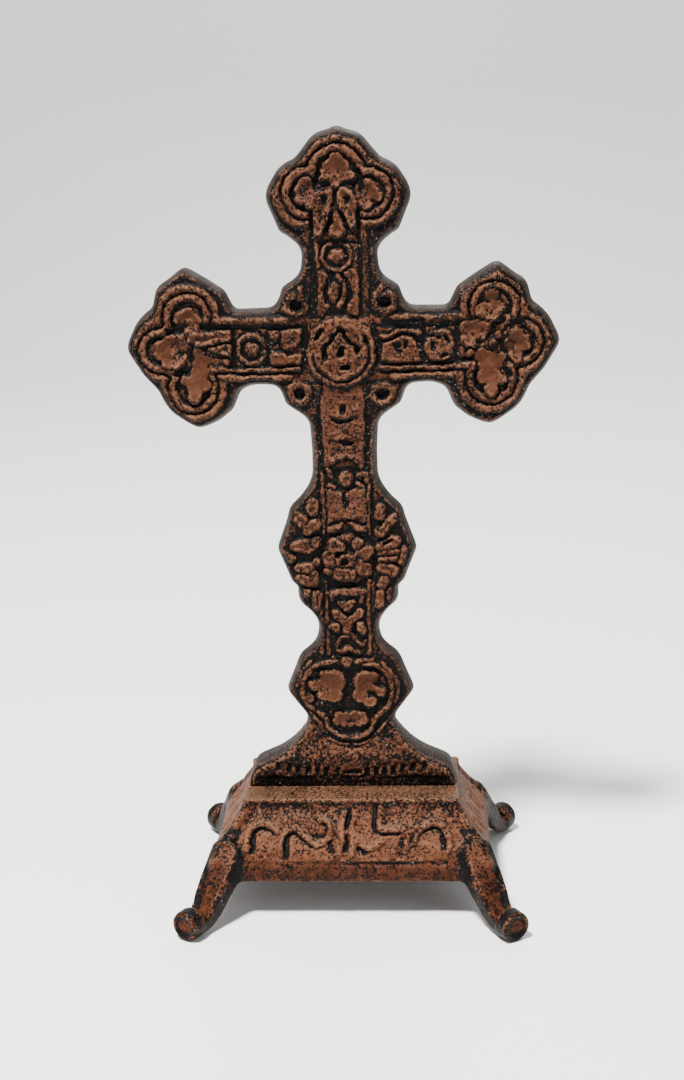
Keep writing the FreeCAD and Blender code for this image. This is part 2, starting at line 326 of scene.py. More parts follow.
# Leaves have a scooped face. A leaf is an outline of (x, z) points, rounded off when drawn, or round
# bulbs (x, z, radius) that grow together.
LEFT_LEAVES = [
    [(-53.4, 206, 2.1), (-50.6, 206.6, 2.4), (-48, 204.6, 2), (-48.6, 202.4, 1.6), (-51, 201.4, 1.3)],
    [(-59.6, 196.2, 2.4), (-60.2, 193.8, 2), (-56.8, 198, 2.4), (-53.4, 199.2, 1.9), (-56.6, 194, 2.8),
     (-57.8, 191.4, 2.3), (-54.8, 190.8, 1.9), (-52.6, 196.6, 1.9), (-53.2, 192.6, 1.5)],
    [(-51, 199.4), (-48.4, 201), (-46.6, 200.6), (-36.9, 201.1), (-36.7, 198.4), (-41.6, 197.6),
     (-47, 196.2), (-50, 196.4)],
    [(-44.2, 195.4), (-40.4, 196.4), (-37, 196.9), (-37, 193.2), (-40.6, 194)],
    [(-47.6, 193.8, 1.7), (-47.6, 190.2, 2.6), (-44.8, 191.4, 1.6), (-41.6, 190.9, 1.3),
     (-38.6, 190.8, 1.2), (-48.6, 186.6, 2.6), (-46.4, 187.6, 2.2), (-52.2, 184.8, 1.7), (-49, 182.8, 2.8),
     (-46, 183.6, 2.2), (-49.4, 179.6, 2.3)],
]
RIGHT_LEAVES = [
    [(49.8, 211.4, 2.2), (51.2, 207.2, 2.6), (47.2, 206.4, 2.6), (49.6, 205, 2.4)],
    [(41.6, 200.9, 2.3), (45.2, 201.2, 2.4), (48.2, 200.8, 2), (46, 198.6, 1.9), (41.8, 196.9, 1.9),
     (43.9, 195.8, 1.2)],
    [(54.4, 203.4, 1.3), (52.9, 200.8, 1.1), (51.8, 198.2, 1.2), (50.2, 195.6, 1)],
    [(57.6, 198.2, 2.2), (56, 195.2, 2.2), (59.6, 195.6, 2.2), (61.2, 194.4, 1.2), (57.4, 192, 2.2),
     (58, 190.4, 1.3)],
    [(46.4, 191.4, 2.2), (50, 191.4, 1.8), (53, 191, 1.5), (48.2, 188, 2.6), (51.6, 188.6, 1.8),
     (46.8, 184.4, 2.1), (50.2, 184.4, 2.8), (53.2, 183.6, 1.3), (49.4, 180.2, 2.2), (42.6, 192.6, 1.2)],
]
TOP_LEAVES = [
    [(0, 255.8, 2.3), (-2, 253.4, 2.2), (2, 253.4, 2.2), (-4.6, 250.9, 1.5), (-2, 250.9, 1.7),
     (4.7, 250.7, 1.5), (2.2, 250.8, 1.7), (0, 249.4, 1.7), (-0.4, 247.6, 1.1)],
    [(-10.2, 248.6, 2.2), (-12.2, 246.4, 2), (-9.6, 245.4, 2.4), (-12, 243.6, 1.8), (-8.8, 242.4, 2.2),
     (-6.4, 244.4, 1.8)],
    [(9.8, 247.6, 2.2), (11, 245.4, 2.2), (13.2, 244.2, 1.6), (8.6, 244.2, 2.2), (9.4, 241.8, 1.9),
     (7.2, 242.6, 1.6)],
    [(-1.2, 246.4), (-2, 242.6), (-3.9, 235.6), (-6, 231.6), (-7.3, 231.2), (-8, 235.4), (-7.7, 240.2),
     (-5.2, 244.6)],
    [(0.5, 245.9), (2.6, 246.8), (5.8, 243.6), (6.1, 238.4), (5.9, 232.8), (4.6, 233.4), (2.6, 236.8),
     (0.7, 241.2)],
    [(-0.6, 239.4), (-1.6, 236.2), (-2.7, 232.6), (-0.4, 231.1), (2.2, 232.4), (1.2, 235.8), (0.2, 238.4)],
]
ARM_LEAVES = [
    [(-24, 201.2), (-20.6, 200.9), (-20.2, 199.4), (-22.6, 198.2), (-24.2, 199)],
    [(-19.6, 201.2), (-13.6, 201.4), (-13.3, 197.8), (-15.2, 195.6), (-18.4, 194.4), (-19.9, 196.6),
     (-19.4, 198.8)],
    [(-24, 191.4), (-23.2, 193.6), (-19.8, 194), (-17.4, 192.6), (-13.8, 193.6), (-13.7, 190),
     (-23.9, 189.9)],
    [(13.3, 199), (16.2, 199.4), (18.6, 200.7), (22.4, 200.6), (26.2, 200.3), (26.2, 198.6), (23.6, 199.6),
     (20.4, 199.9), (17.4, 198.4), (13.4, 197.6)],
    [(13.5, 196.5), (17.4, 197.4), (20.2, 198.9), (23.4, 198.2), (25, 196), (26.4, 192.4), (26.2, 190),
     (13.7, 190.2), (13.6, 193.4)],
    [(28.1, 197.3), (29.9, 199.9), (33.9, 200.4), (36.8, 198.6), (37.2, 192.6), (34.5, 190.2), (31, 190),
     (28.4, 191.8), (27.4, 195)],
]
SHAFT_LEAVES = [
    [(-7, 219.6), (-4.6, 219.7), (-4.1, 217.2), (-5.4, 214.6), (-5.4, 211.4), (-3.6, 208.8), (-5, 206.2),
     (-6.9, 206.4)],
    [(1.6, 219.7), (6, 219.8), (6.1, 206.4), (3.4, 206.2), (2.6, 208.6), (4, 211.6), (3.9, 214.8),
     (2, 217.6)],
    [(-1.5, 220), (0.3, 220), (0.9, 217.4), (2.3, 214.4), (2.2, 211.4), (0.8, 208.6), (-1.2, 208.4),
     (-0.2, 210.6), (1.1, 213.2), (0.2, 216.2)],
    [(-2, 216.6), (-0.6, 216), (0, 213.2), (-1, 210.6), (-2.9, 209.6), (-4, 211.6), (-3.3, 214.6)],
    [(-6.3, 182.6), (6.3, 182.6), (6.3, 155.4), (4.4, 155.6), (2.6, 157.4), (0.2, 157.6), (-2.4, 156.6),
     (-4.4, 155.2), (-6.4, 155)],
    [(-6.2, 145.6), (-3.6, 146.8), (-0.7, 145.4), (0.6, 145.6), (3.8, 147.4), (7, 146.2), (7.1, 134.6),
     (6.1, 132.2), (3, 132.8), (0.8, 135.2), (-0.3, 135), (-2.4, 132.6), (-5, 131.7), (-6.2, 133.4)],
]
NECK_LEAVES = [
    [(-5.8, 111.6), (5.9, 111.7), (5.9, 109.2), (4.8, 106.4), (3.9, 107.2), (4, 109.2), (-4.2, 109.3),
     (-4.7, 107.6), (-5.5, 107.4)],
    [(-3.3, 107), (-1.6, 107.7), (-0.3, 107.1), (1.2, 107.8), (3, 107), (1.4, 105), (-0.2, 103.4),
     (-1.8, 104.8)],
    [(-5.9, 103.6), (-3.6, 104.4), (-1.8, 103), (-0.1, 101.8), (1.8, 103.2), (4.4, 104.8), (5.8, 103),
     (4.2, 100.6), (1.9, 99.4), (1.6, 96.8), (0.8, 95.4), (-1.4, 95.8), (-2.2, 98.6), (-4.6, 100.9)],
]
LOWER_LEAVES = [
    [(-5.4, 78.6, 3.9), (-8.7, 80.7, 2), (-12.3, 77, 2), (-9.6, 76.6, 2.4), (-9.3, 73.1, 2.2),
     (-5.2, 73.3, 2.8)],
    [(5, 78.4, 3.8), (8.5, 80.2, 1.8), (8, 76.6, 2.2), (10.5, 74.4, 2), (6.9, 70.6, 2.2), (3.7, 73.4, 2.7)],
    [(-14, 72.2, 1.5)],
    [(-4.9, 63.7, 1.3), (-3.9, 65.6, 1.6), (-2.4, 62.9, 1.4), (-1.4, 65.4, 1.7), (0.2, 62.7, 1.4),
     (1.5, 65.4, 1.7), (2.8, 63, 1.4), (4, 65.4, 1.6), (5.1, 63.9, 1.3)],
]

# Chains of (x, z, radius) knots. Raised strands and buttons.
STRANDS = [
    # rails of the shaft and neck
    [(-7.4, 152.5, 0.55), (-7.5, 131.5, 0.55)], [(7.9, 152.5, 0.55), (7.9, 131.5, 0.55)],
    [(-7.3, 114.2, 0.6), (-7.1, 104, 0.6), (-7.1, 88.6, 0.7)],
    [(-9.2, 106, 0.9), (-9, 97, 0.8), (-9.3, 89, 0.9)],
    [(7.5, 114.6, 0.8), (7.2, 104, 0.7), (7.2, 88.6, 0.8)], [(9.1, 114, 0.6), (8.9, 104, 0.5)],
    # hooks over the brackets
    [(11.8, 212, 1.2), (14.2, 215.2, 1)], [(-13, 215, 1), (-12.8, 211.8, 1.2)],
    [(-18.6, 211.4, 0.9), (-18.2, 207.9, 1.2), (-15.6, 206.9, 1)],
    # band under the draped panel
    [(-5.4, 153.7, 0.9), (-4.2, 151.2, 0.7)], [(5, 151.6, 0.9), (7, 152.6, 0.8), (7.3, 149.4, 0.7)],
    [(-5.4, 148.2, 0.8), (-3.8, 147.6, 0.7)], [(4.6, 148.7, 0.7), (6.4, 147.9, 0.6)],
    # arches of the neck
    [(-4.3, 90.9, 0.8), (-3.4, 93.4, 0.8), (-1.6, 94.9, 0.7), (0.4, 94.7, 0.7)],
    [(1.2, 95.9, 0.7), (2, 93.4, 0.8), (4.4, 91.6, 0.9), (6, 93.6, 0.5)],
    [(-3.9, 89.9, 0.8), (-2.2, 89.2, 0.9), (-0.5, 90.4, 1.2), (1.3, 89.6, 0.9), (3.4, 88.5, 0.8)],
    [(-5.6, 87, 0.8), (-3.6, 85, 0.8)], [(2.4, 85.4, 0.9), (5.2, 86, 0.8), (8, 85.9, 0.8)],
    # mouldings round the lower lobe
    [(-5, 85.6, 0.9), (-9.4, 85.2, 1.1), (-13.4, 82.8, 1.2), (-15.8, 79.4, 1.1), (-16.6, 75.8, 1),
     (-16, 71.8, 1), (-13.9, 68.9, 1), (-10.6, 66.6, 1.1), (-8.6, 64.4, 1.1), (-7.7, 61.2, 1),
     (-5.4, 58.9, 0.9), (-2.6, 57.8, 0.9), (0, 57.5, 0.9), (3, 57.9, 0.9), (5.8, 59.2, 0.9), (7.8, 61.6, 1),
     (8.5, 64.4, 1.1), (11.2, 66.9, 1), (13.6, 69.8, 1), (14.8, 73.4, 1), (14.7, 77.4, 1.1),
     (12.8, 81.2, 1.1), (9.2, 84, 1), (5, 84.3, 0.9)],
    [(11.4, 85.2, 0.7), (15, 80.8, 0.8), (17, 76.4, 0.8), (16.7, 72.8, 0.7), (15.6, 70.6, 0.6)],
    [(-13.2, 86, 0.6), (-17, 81.6, 0.7), (-18.6, 76.8, 0.7)],
    [(-8, 57.6, 0.5), (-4.8, 56.1, 0.5), (-0.9, 55.2, 0.5)],
    [(1, 55.2, 0.5), (4.4, 56.2, 0.5), (8.4, 58.8, 0.5)],
    [(-14.4, 66.6, 0.7), (-11.4, 63.4, 0.7), (-9.6, 60, 0.6)],
    [(14.6, 66.2, 0.6), (11.6, 62.6, 0.7), (9.8, 59.6, 0.6)],
]
BUTTONS = [
    [(0.6, 150.7, 2)], [(-4.7, 98, 1.7)], [(4.1, 98.3, 1.3), (4.3, 97, 1.4)], [(-0.7, 85.7, 1.8)],
    [(-11.2, 141.9, 1.9), (-11.5, 139.7, 1.8)], [(-17, 137.9, 1.5), (-14.6, 135.8, 1.7)],
    [(-13.2, 132.9, 1.5), (-10.6, 134.9, 1.9)], [(-17.2, 127.6, 1.6), (-13.2, 127.4, 2.5)],
    [(-10.2, 128.7, 1.6)], [(-21.6, 124.9, 0.7), (-18.6, 122.9, 1.2)],
    [(-16.6, 119.7, 1.2), (-12.6, 119.5, 1.9)], [(-10, 121.8, 1.1)],
    [(-16.2, 115.9, 1.4), (-11.9, 114.8, 1.7), (-11.2, 117.4, 1.1)],
    [(-16.4, 110.6, 1.6), (-13.9, 110.7, 1.4)], [(-10.4, 109.8, 1.6), (-10.6, 106, 1.5)],
    [(11.9, 139.9, 1.6), (11.8, 137.8, 1.6)], [(17.2, 137.5, 1.2), (14.6, 134.9, 1.5)],
    [(13.6, 134, 1.3), (11.6, 132.1, 1.6)], [(11.9, 126.7, 1.6), (16.1, 128.3, 2.2)],
    [(11.3, 124.4, 0.6), (17.8, 125, 0.7)], [(11.6, 122.2, 0.7), (17.2, 122.6, 0.7)],
    [(12, 119.4, 1.6), (15.3, 118.4, 2.2)], [(19.7, 126, 0.8), (19.2, 121.4, 0.9)],
    [(12.8, 114.9, 1.5), (11.9, 112.7, 1.3)], [(15.2, 110.2, 1.6), (14.6, 108.8, 1.4)],
    [(11.4, 110.3, 1.2), (11, 106, 1.2)], [(-5.3, 123.5, 2.5), (-4.9, 121, 2.3)],
    [(-3.9, 127.4, 2.3), (-1.8, 126.6, 1.9)], [(3.9, 128.3, 1.7), (2.9, 125, 1.3)],
    [(7.4, 125.2, 2), (4.8, 123.4, 2.3)], [(6, 119.2, 2.4), (4.2, 120.4, 2.1)],
    [(-2.9, 117.7, 2.1), (0.8, 117.2, 2.3)], [(-6.4, 118.2, 1.2)], [(-1.6, 122.4, 1.9), (1.2, 122.2, 1.9)],
]

# Grooves and pits, where the black stays.
GROOVES = [
    # top lobe
    [(-5.9, 251.4, 0.9), (-7.2, 249.2, 0.8), (-6.9, 246.6, 0.7)], [(-4.3, 248.3, 0.9), (-3.2, 248.4, 0.9)],
    [(6.7, 252.6, 0.7), (7.4, 248.6, 0.7), (7.6, 245.4, 0.6)], [(2.4, 247.7, 0.5), (4.6, 248.5, 0.8)],
    [(-4.3, 243.9, 0.8), (-4.2, 242.6, 0.7)], [(3.2, 243.6, 0.8), (3.2, 242.4, 0.5)],
    [(-0.4, 246.2, 0.5), (-0.7, 241.6, 0.6)], [(-1.8, 239.4, 0.5), (-3.6, 233.6, 0.5)],
    [(1, 239, 0.5), (3.6, 233.6, 0.5)], [(-8.7, 239, 0.6), (-8.9, 232.4, 0.7)],
    [(6.8, 239.6, 0.6), (6.9, 231.8, 0.6)], [(-5.9, 230, 0.5), (0, 229.9, 0.5), (5.6, 229.6, 0.6)],
    # left lobe
    [(-57, 201.4, 0.8), (-54.6, 201.6, 1.1), (-52.8, 201.8, 0.8)],
    [(-54.4, 202.9, 0.5), (-51.6, 203.2, 0.5)], [(-45.8, 203, 0.9), (-41.6, 202.6, 1), (-37.6, 202.4, 0.7)],
    [(-53.4, 193.7, 0.8)], [(-49.9, 194.2, 0.7), (-49.9, 191.4, 0.7)], [(-49.5, 196.6, 0.8)],
    [(-54.8, 187, 1.1), (-52.2, 188.6, 1.3), (-51.4, 187, 0.9)], [(-53.6, 183, 0.6), (-52.4, 180.4, 0.7)],
    # right lobe
    [(50.6, 201.4, 0.8), (53.4, 203.2, 0.8)], [(48.4, 197.6, 0.4), (49.8, 200.4, 0.6)], [(45.3, 196.3, 1)],
    [(49.9, 193.2, 0.8)], [(53, 196.2, 0.7), (54.2, 192.8, 0.7)],
    [(56, 202, 0.9), (58.6, 202.4, 1.2), (60.4, 200.4, 0.7)], [(54.6, 187, 0.8), (55.6, 185.4, 0.7)],
    [(40.4, 190.6, 0.5), (43, 191, 0.4)],
    # arms
    [(-35.8, 201.4, 0.55), (-35.9, 188.6, 0.6)], [(-24.4, 200, 0.5), (-24.5, 190, 0.6)],
    [(-23.6, 195.6, 1), (-20.6, 197.8, 0.5)], [(-12.6, 200.8, 0.5), (-12.7, 191.4, 0.4)],
    [(-13, 190, 0.6), (-12.8, 188.4, 0.9)], [(-11.4, 202.4, 0.6), (-11.9, 195.6, 0.8)],
    [(12.5, 197, 0.9), (12.7, 192, 0.8), (12.2, 189.6, 0.5)], [(10.8, 201.8, 1.1), (10.9, 199.6, 1.2)],
    [(13.4, 196.9, 0.35), (16.8, 197.8, 0.4), (19.4, 199.3, 0.45), (22, 199.4, 0.4), (24.6, 198, 0.5),
     (25.8, 196, 0.6)], [(27.3, 203.6, 0.6), (27.4, 199.4, 0.7), (25.9, 195.6, 0.8), (27, 191.2, 0.8)],
    [(28.6, 189.4, 0.8), (36.8, 189.6, 0.6)], [(38.4, 203, 0.8), (38.3, 190, 0.9)], [(19.2, 195.4, 0.8)],
    [(17.6, 196.2, 0.3), (18, 194.2, 0.4), (20, 193.2, 0.4)], [(21.3, 194.4, 0.35), (21.6, 196.6, 0.3)],
    [(14, 203.4, 0.7), (20, 203.2, 0.5), (26, 204, 0.6)], [(30.5, 196.2, 0.5), (30.5, 194.2, 0.6)],
    [(32.3, 198.2, 0.7)], [(34.9, 191.9, 0.6), (33.2, 191.4, 0.5)], [(28.8, 198.4, 0.3), (30.8, 199, 0.4)],
    [(34.6, 198.4, 0.3), (35.8, 196.2, 0.3)],
    # top shaft
    [(-2.6, 219.6, 0.7), (-2.6, 217.6, 0.7)], [(-3.4, 216.6, 0.3), (-4.7, 213.6, 0.5), (-4.3, 210.6, 0.6)],
    [(1, 219, 0.5), (3, 214.8, 0.6), (3.1, 211.6, 0.7), (1.9, 209, 0.5)],
    [(0.4, 216.2, 0.3), (0.6, 213.4, 0.35), (-0.2, 210.8, 0.3)], [(-2.6, 206.6, 0.9), (1.4, 206.8, 1)],
    # medallion
    [(-5.6, 194.6, 0.7), (-5.5, 191.8, 0.85)], [(0.4, 194.5, 0.9), (0, 192.8, 1)],
    [(5.5, 194.6, 0.8), (5.4, 193.6, 0.6)], [(0.2, 188.5, 0.7), (2, 188.5, 0.7)],
    [(-5.4, 195.6, 0.4), (-3.5, 196.7, 0.45), (-2.4, 198.7, 0.45), (0, 201, 0.5), (1.5, 199, 0.5),
     (2.9, 196.7, 0.45), (4.6, 195.9, 0.4)], [(-8.3, 198.4, 0.4), (-6.4, 201, 0.5)],
    [(7.6, 198.6, 0.35), (8.7, 196.2, 0.4)],
    # draped panel and the two-lobed panel
    [(0, 174.8, 0.9), (0, 173.6, 1)], [(-3.4, 170.8, 0.4), (-0.4, 170.1, 0.6), (3, 170.7, 0.4)],
    [(-1.2, 163.4, 0.5), (0.8, 162.7, 0.8), (2.6, 163, 0.4)],
    [(-0.2, 145.2, 0.5), (0.3, 142.6, 1), (0.2, 140.6, 0.5)],
    [(-1, 136, 0.4), (0.3, 136, 0.6), (1.8, 136, 0.4)], [(-5.4, 134.6, 0.3), (-2.4, 135.4, 0.3)],
    [(6.2, 134.8, 0.3), (3.2, 135.6, 0.3)],
    # flower
    [(-0.7, 121.7, 1.1)], [(1.4, 125.6, 1.2), (0.3, 128, 0.5)], [(-3, 124.2, 0.7), (-1.2, 124.9, 0.3)],
    [(12.8, 128.2, 0.35), (15.4, 129.2, 0.4)],
    # neck
    [(-1.8, 93, 0.9), (-0.4, 93.2, 0.9)], [(0.9, 93.9, 0.4), (2.2, 91.4, 0.5), (4.2, 90.5, 0.4)],
    [(-4.3, 88.6, 0.5), (-2.8, 87.6, 0.5), (-0.8, 88.2, 0.5), (1.4, 87.5, 0.5), (4.8, 87.3, 0.5)],
    [(2.4, 99, 0.5), (2.1, 97, 0.6), (3.2, 95.3, 0.5)], [(-6.2, 96.8, 0.5), (-4.4, 95.6, 0.6)],
    # lower lobe
    [(-2.6, 82.5, 0.8), (2.8, 82.5, 0.8)], [(0.1, 81.6, 1.1), (-0.4, 78, 0.45), (-0.7, 73.4, 0.5)],
    [(-13.8, 79.3, 0.5), (-11, 79.7, 0.7)], [(-14.8, 74.7, 0.4), (-12.4, 73.4, 0.5), (-11.4, 70.6, 0.7)],
    [(-12, 82.2, 0.6), (-9.4, 83.6, 0.6), (-5.6, 84, 0.6)], [(-11.6, 68.5, 0.8), (-8.2, 68.2, 0.9)],
    [(8.6, 77.1, 0.45), (11.4, 76.6, 0.7)],
    [(4, 83.3, 0.4), (9.4, 82.2, 0.6), (12.8, 78.2, 0.5), (13.5, 74.6, 0.4)],
    [(9.8, 70.8, 0.5), (12.6, 72.2, 0.4)],
    [(4.4, 69.2, 0.6), (5.4, 67.2, 0.6), (8.2, 67.4, 0.7), (9.4, 69, 0.5)],
    [(-4.2, 69.3, 0.4), (-0.6, 67.6, 0.4), (1.8, 68.9, 0.4)], [(-7, 64.4, 0.4), (-6.6, 62, 0.5)],
    [(-5.6, 60.9, 0.5), (-3, 60.1, 0.6), (0, 59.8, 0.65), (3.4, 60.2, 0.6), (5.8, 62.2, 0.5)],
    [(-8.9, 60.4, 0.4), (-6.2, 57.5, 0.5), (0, 56, 0.5), (6.4, 57.8, 0.5), (10, 62.2, 0.5),
     (13.6, 65.4, 0.4)], [(-1, 54.4, 0.5), (1.4, 54.4, 0.5)],
]
BRACKET_RINGS = [(14.6, 209.8), (-14.6, 209.4), (-14.4, 180.0), (13.5, 179.6)]
# Flat sunken places that stay black: x from, x to, z from, z to.
BLACK_BANDS = [
    (-9.6, -7.6, 204.5, 231.5), (6.6, 7.6, 204.5, 231.5), (-9.9, -6.9, 147, 172.5), (6.9, 9.9, 147, 172.5),
    (-6.2, 6.6, 147, 154.6), (-9.4, -8.2, 131, 147), (8.7, 9.9, 131, 147), (-6, 5.6, 112.3, 114.4),
]

# Circles whose joined outline carries the two mouldings of each lobe: x, z, radius.
LOBE_CIRCLES = [
    (0, 251.3, 11.2), (-10, 245.4, 10), (10, 245.4, 9.9), (-51, 206, 9.8), (-60, 195, 9.4),
    (-49.8, 182.2, 10.1), (50.8, 207.8, 10), (58.8, 195.8, 9.5), (49.5, 184, 10.2), (-0.6, 242, 11),
    (-52.2, 195.2, 12), (51.5, 195.5, 12),
]
HOLLOW_DEPTH = 4.8


def moulding_depth(x, z):
    """Depth inside the line of the outer moulding; the hollows begin at HOLLOW_DEPTH."""
    arms = box_depth(x, z, 0, 195.0, 52 - HOLLOW_DEPTH, 9.5 - HOLLOW_DEPTH)
    shaft = box_depth(x, z, -0.9, 217, 9.3 - HOLLOW_DEPTH, 24 - HOLLOW_DEPTH)
    depth = np.maximum(arms, shaft) + HOLLOW_DEPTH
    for cx, cz, radius in LOBE_CIRCLES:
        depth = joined(depth, radius - np.hypot(x - cx, z - cz), 0.5)
    return depth


def near_box(x, z, points, margin):
    points = np.array(points)
    low, high = points[:, :2].min(0) - margin, points[:, :2].max(0) + margin
    return np.nonzero((x > low[0]) & (x < high[0]) & (z > low[1]) & (z < high[1]))[0]


# Leaves in the order they are laid on: height of the edge, depth of the scoop, swell past the outline.
LEAF_SETS = [
    (TOP_LEAVES, 1.50, 1.25, 0.35), (LEFT_LEAVES, 1.50, 1.30, 0.4), (RIGHT_LEAVES, 1.50, 1.30, 0.4),
    (ARM_LEAVES, 0.95, 0.35, 0.2), (SHAFT_LEAVES, 0.80, 0.25, 0.2), (NECK_LEAVES, 1.1, 0.35, 0.2),
    (LOWER_LEAVES, 1.60, 1.00, 0.2),
]
LEAF_BASE = 0.25
DEEP_SCOOP = 0.5


def leaf_depth(x, z, outline):
    """Depth inside a leaf given as an outline or as bulbs, and the depth that shapes its bowl."""
    if len(outline[0]) == 2:
        depth = nearest_on_loop(np.column_stack([x, z]), closed_curve(outline))[0]
        return depth, depth
    depth = np.full(len(x), -9.0)
    for bulb_x, bulb_z, radius in outline:
        depth = joined(depth, radius - np.hypot(x - bulb_x, z - bulb_z), 0.7)
    centre_x, centre_z, _ = np.mean(outline, axis=0)
    reach = max(math.hypot(knot[0] - centre_x, knot[1] - centre_z) + knot[2] for knot in outline)
    middle = 1.0 - np.hypot(x - centre_x, z - centre_z) / reach
    return depth, 4.2 * middle


def add_leaves(height, ink, x, z, leaves, top, scoop, swell):
    """Scooped leaves with a raised edge that fill their hollow; black stays in parts of the seams."""
    wear = patchy(x, z, 61, 0.0)
    waves = 0.30 * lattice_noise(x, z, 2.9, 81)
    deep = scoop > DEEP_SCOOP
    clean = 0.60 if deep else 0.05
    for outline in leaves:
        here = near_box(x, z, outline, 4.5)
        depth, broad = leaf_depth(x[here], z[here], outline)
        depth = depth + swell
        bowl = (scoop + waves[here] * deep) * smooth_step(0.4, 3.6, broad + swell)
        hang = 0.09 * (np.mean([knot[1] for knot in outline]) - z[here]) * deep
        face = LEAF_BASE + (top - LEAF_BASE + hang) * rounded(depth, 0.9) - bowl
        seam = bead(depth, -0.15, 0.55) * (depth < 0.25)
        height[here] = np.where(depth > 0, face, height[here]) - 0.30 * seam
        ink[here] = np.maximum(ink[here], (0.10 + 0.50 * wear[here]) * seam)
        ink[here] = np.where(depth > 0.3, -clean * smooth_step(0.3, 1.0, depth), ink[here])
    return height, ink


def add_chains(height, ink, x, z, chains, top, edge, swell):
    """Rounded strands and buttons, each swollen a little beyond its knots."""
    for chain in chains:
        here = near_box(x, z, chain, 3.5)
        depth = chain_depth(x[here], z[here], chain) + swell
        width = max(knot[2] for knot in chain) + swell
        pad = top * min(1.0, 0.45 + 0.30 * width) * rounded(depth, min(edge, width))
        pad = pad - 0.50 * smooth_step(0.9, 2.2, depth)
        seam = bead(depth, 0.0, 0.5)
        raised = np.where(depth > 0, np.maximum(height[here] - 0.15, pad), height[here])
        height[here] = raised - 0.2 * seam
        wiped_ink = np.minimum(ink[here], -0.2 * smooth_step(0.3, 0.9, depth))
        ink[here] = np.maximum(np.where(depth > 0.3, wiped_ink, ink[here]), 0.35 * seam)
    return height, ink


# Folds of the two panels: top and bottom z of each fold, in which the face swells towards its lower edge.
FOLDS = [(182.6, 171.1), (171.1, 163.7), (163.7, 155.6), (147.0, 136.2), (136.2, 131.8)]


def add_folds(height, x, z):
    """Sagging folds down the draped panel and the panel below it."""
    sag = z + 0.10 * np.abs(x) * np.sin(np.abs(x) * 0.9)
    aside = np.abs(x - 0.1)
    for top, bottom in FOLDS:
        along = (top - sag) / (top - bottom)
        inside = (along > 0) & (along <= 1) & (aside < 6.2)
        swell = 0.75 * np.clip(along, 0, 1) ** 2 * smooth_step(1.0, 0.90, along)
        swell = swell * smooth_step(6.2, 4.4, aside)
        height = np.where(inside & (height > 0.2), height + swell, height)
    return height


def cut_grooves(height, ink, x, z, chains, bottom):
    wear = patchy(x, z, 63, 0.0)
    for chain in chains:
        here = near_box(x, z, chain, 3.0)
        depth = chain_depth(x[here], z[here], chain)
        cut = rounded(depth + 0.3, 0.8)
        height[here] = height[here] - np.maximum(height[here] - bottom, 0.35) * cut
        ink[here] = np.maximum(ink[here], smooth_step(-0.30, 0.15, depth) * (0.45 + 0.55 * wear[here]))
    return height, ink


def add_mouldings(height, ink, x, z):
    """The two mouldings of the lobes; the outer one goes on along the arms and up the shaft."""
    depth = moulding_depth(x, z)
    aside = np.abs(x)
    lobe = np.clip(smooth_step(36.5, 38.5, aside) + smooth_step(233.0, 236.0, z), 0, 1)
    over_arms = smooth_step(182.5, 184.5, z) * np.clip((aside - 18.0) / 2.0 + (z > 183.5), 0, 1)
    above = np.maximum(lobe, over_arms)
    lower_arm = (z < 195) * smooth_step(37.5, 36.5, aside) * (aside > 12.5)
    neck = smooth_step(205.0, 207.0, z) * smooth_step(233.0, 231.0, z) * (aside < 12)
    clear = np.hypot(x - MEDALLION[0], z - MEDALLION[1]) > 12.0
    closed = 1 - smooth_step(48.0, 46.0, aside) * smooth_step(199.0, 200.0, z) * (z < 203.2) * (aside > 30)
    hollows = smooth_step(HOLLOW_DEPTH - 0.2, HOLLOW_DEPTH + 1.4, depth) * lobe
    height = height + 0.35 * hollows
    outer = bead(depth, -0.1, 1.35 + 0.25 * lobe) * above * clear
    place = 2.5 + 0.7 * lobe
    inner = bead(depth, place, 0.60 + 0.85 * lobe) * np.maximum(lobe, lower_arm) * clear * closed
    slim = bead(depth, 3.3, 0.7) * neck
    height = np.maximum(height, np.maximum(1.25 * outer, np.maximum(1.25 * inner, 0.8 * slim)))
    wear = patchy(x, z, 65, 0.10)
    line = bead(depth, 1.35 + 0.20 * lobe, 0.55 - 0.12 * lobe) * clear * np.maximum(lobe, lower_arm) * closed
    upper_arm = (z > 195) * (z < 206) * (aside > 11) * (aside < 37)
    gap = bead(depth, 2.4, 0.8) * upper_arm * clear
    below = bead(depth, 3.6, 0.5) * lower_arm * clear
    rim = bead(depth, HOLLOW_DEPTH, 0.65) * lobe * closed
    height = height - 0.40 * line - 0.40 * gap - 0.30 * below - 0.45 * rim * (0.4 + 0.6 * wear)
    ink = np.maximum(ink, np.maximum(0.75 * wear * line, 0.9 * gap))
    ink = np.maximum(ink, np.maximum(0.8 * below, (0.25 + 0.75 * wear) * rim))
    dip = bead(depth, -1.9, 0.8)
    beside = dip * (z > 170) * (0.4 + 0.5 * wear)
    land = smooth_step(-1.3, -1.9, depth) * (z > 183) * (0.30 + 0.40 * patchy(x, z, 67, 0.0))
    return height - dip * 0.25 * (z > 170), np.maximum(ink, np.maximum(land, beside))


MEDALLION = (0.0, 193.2)


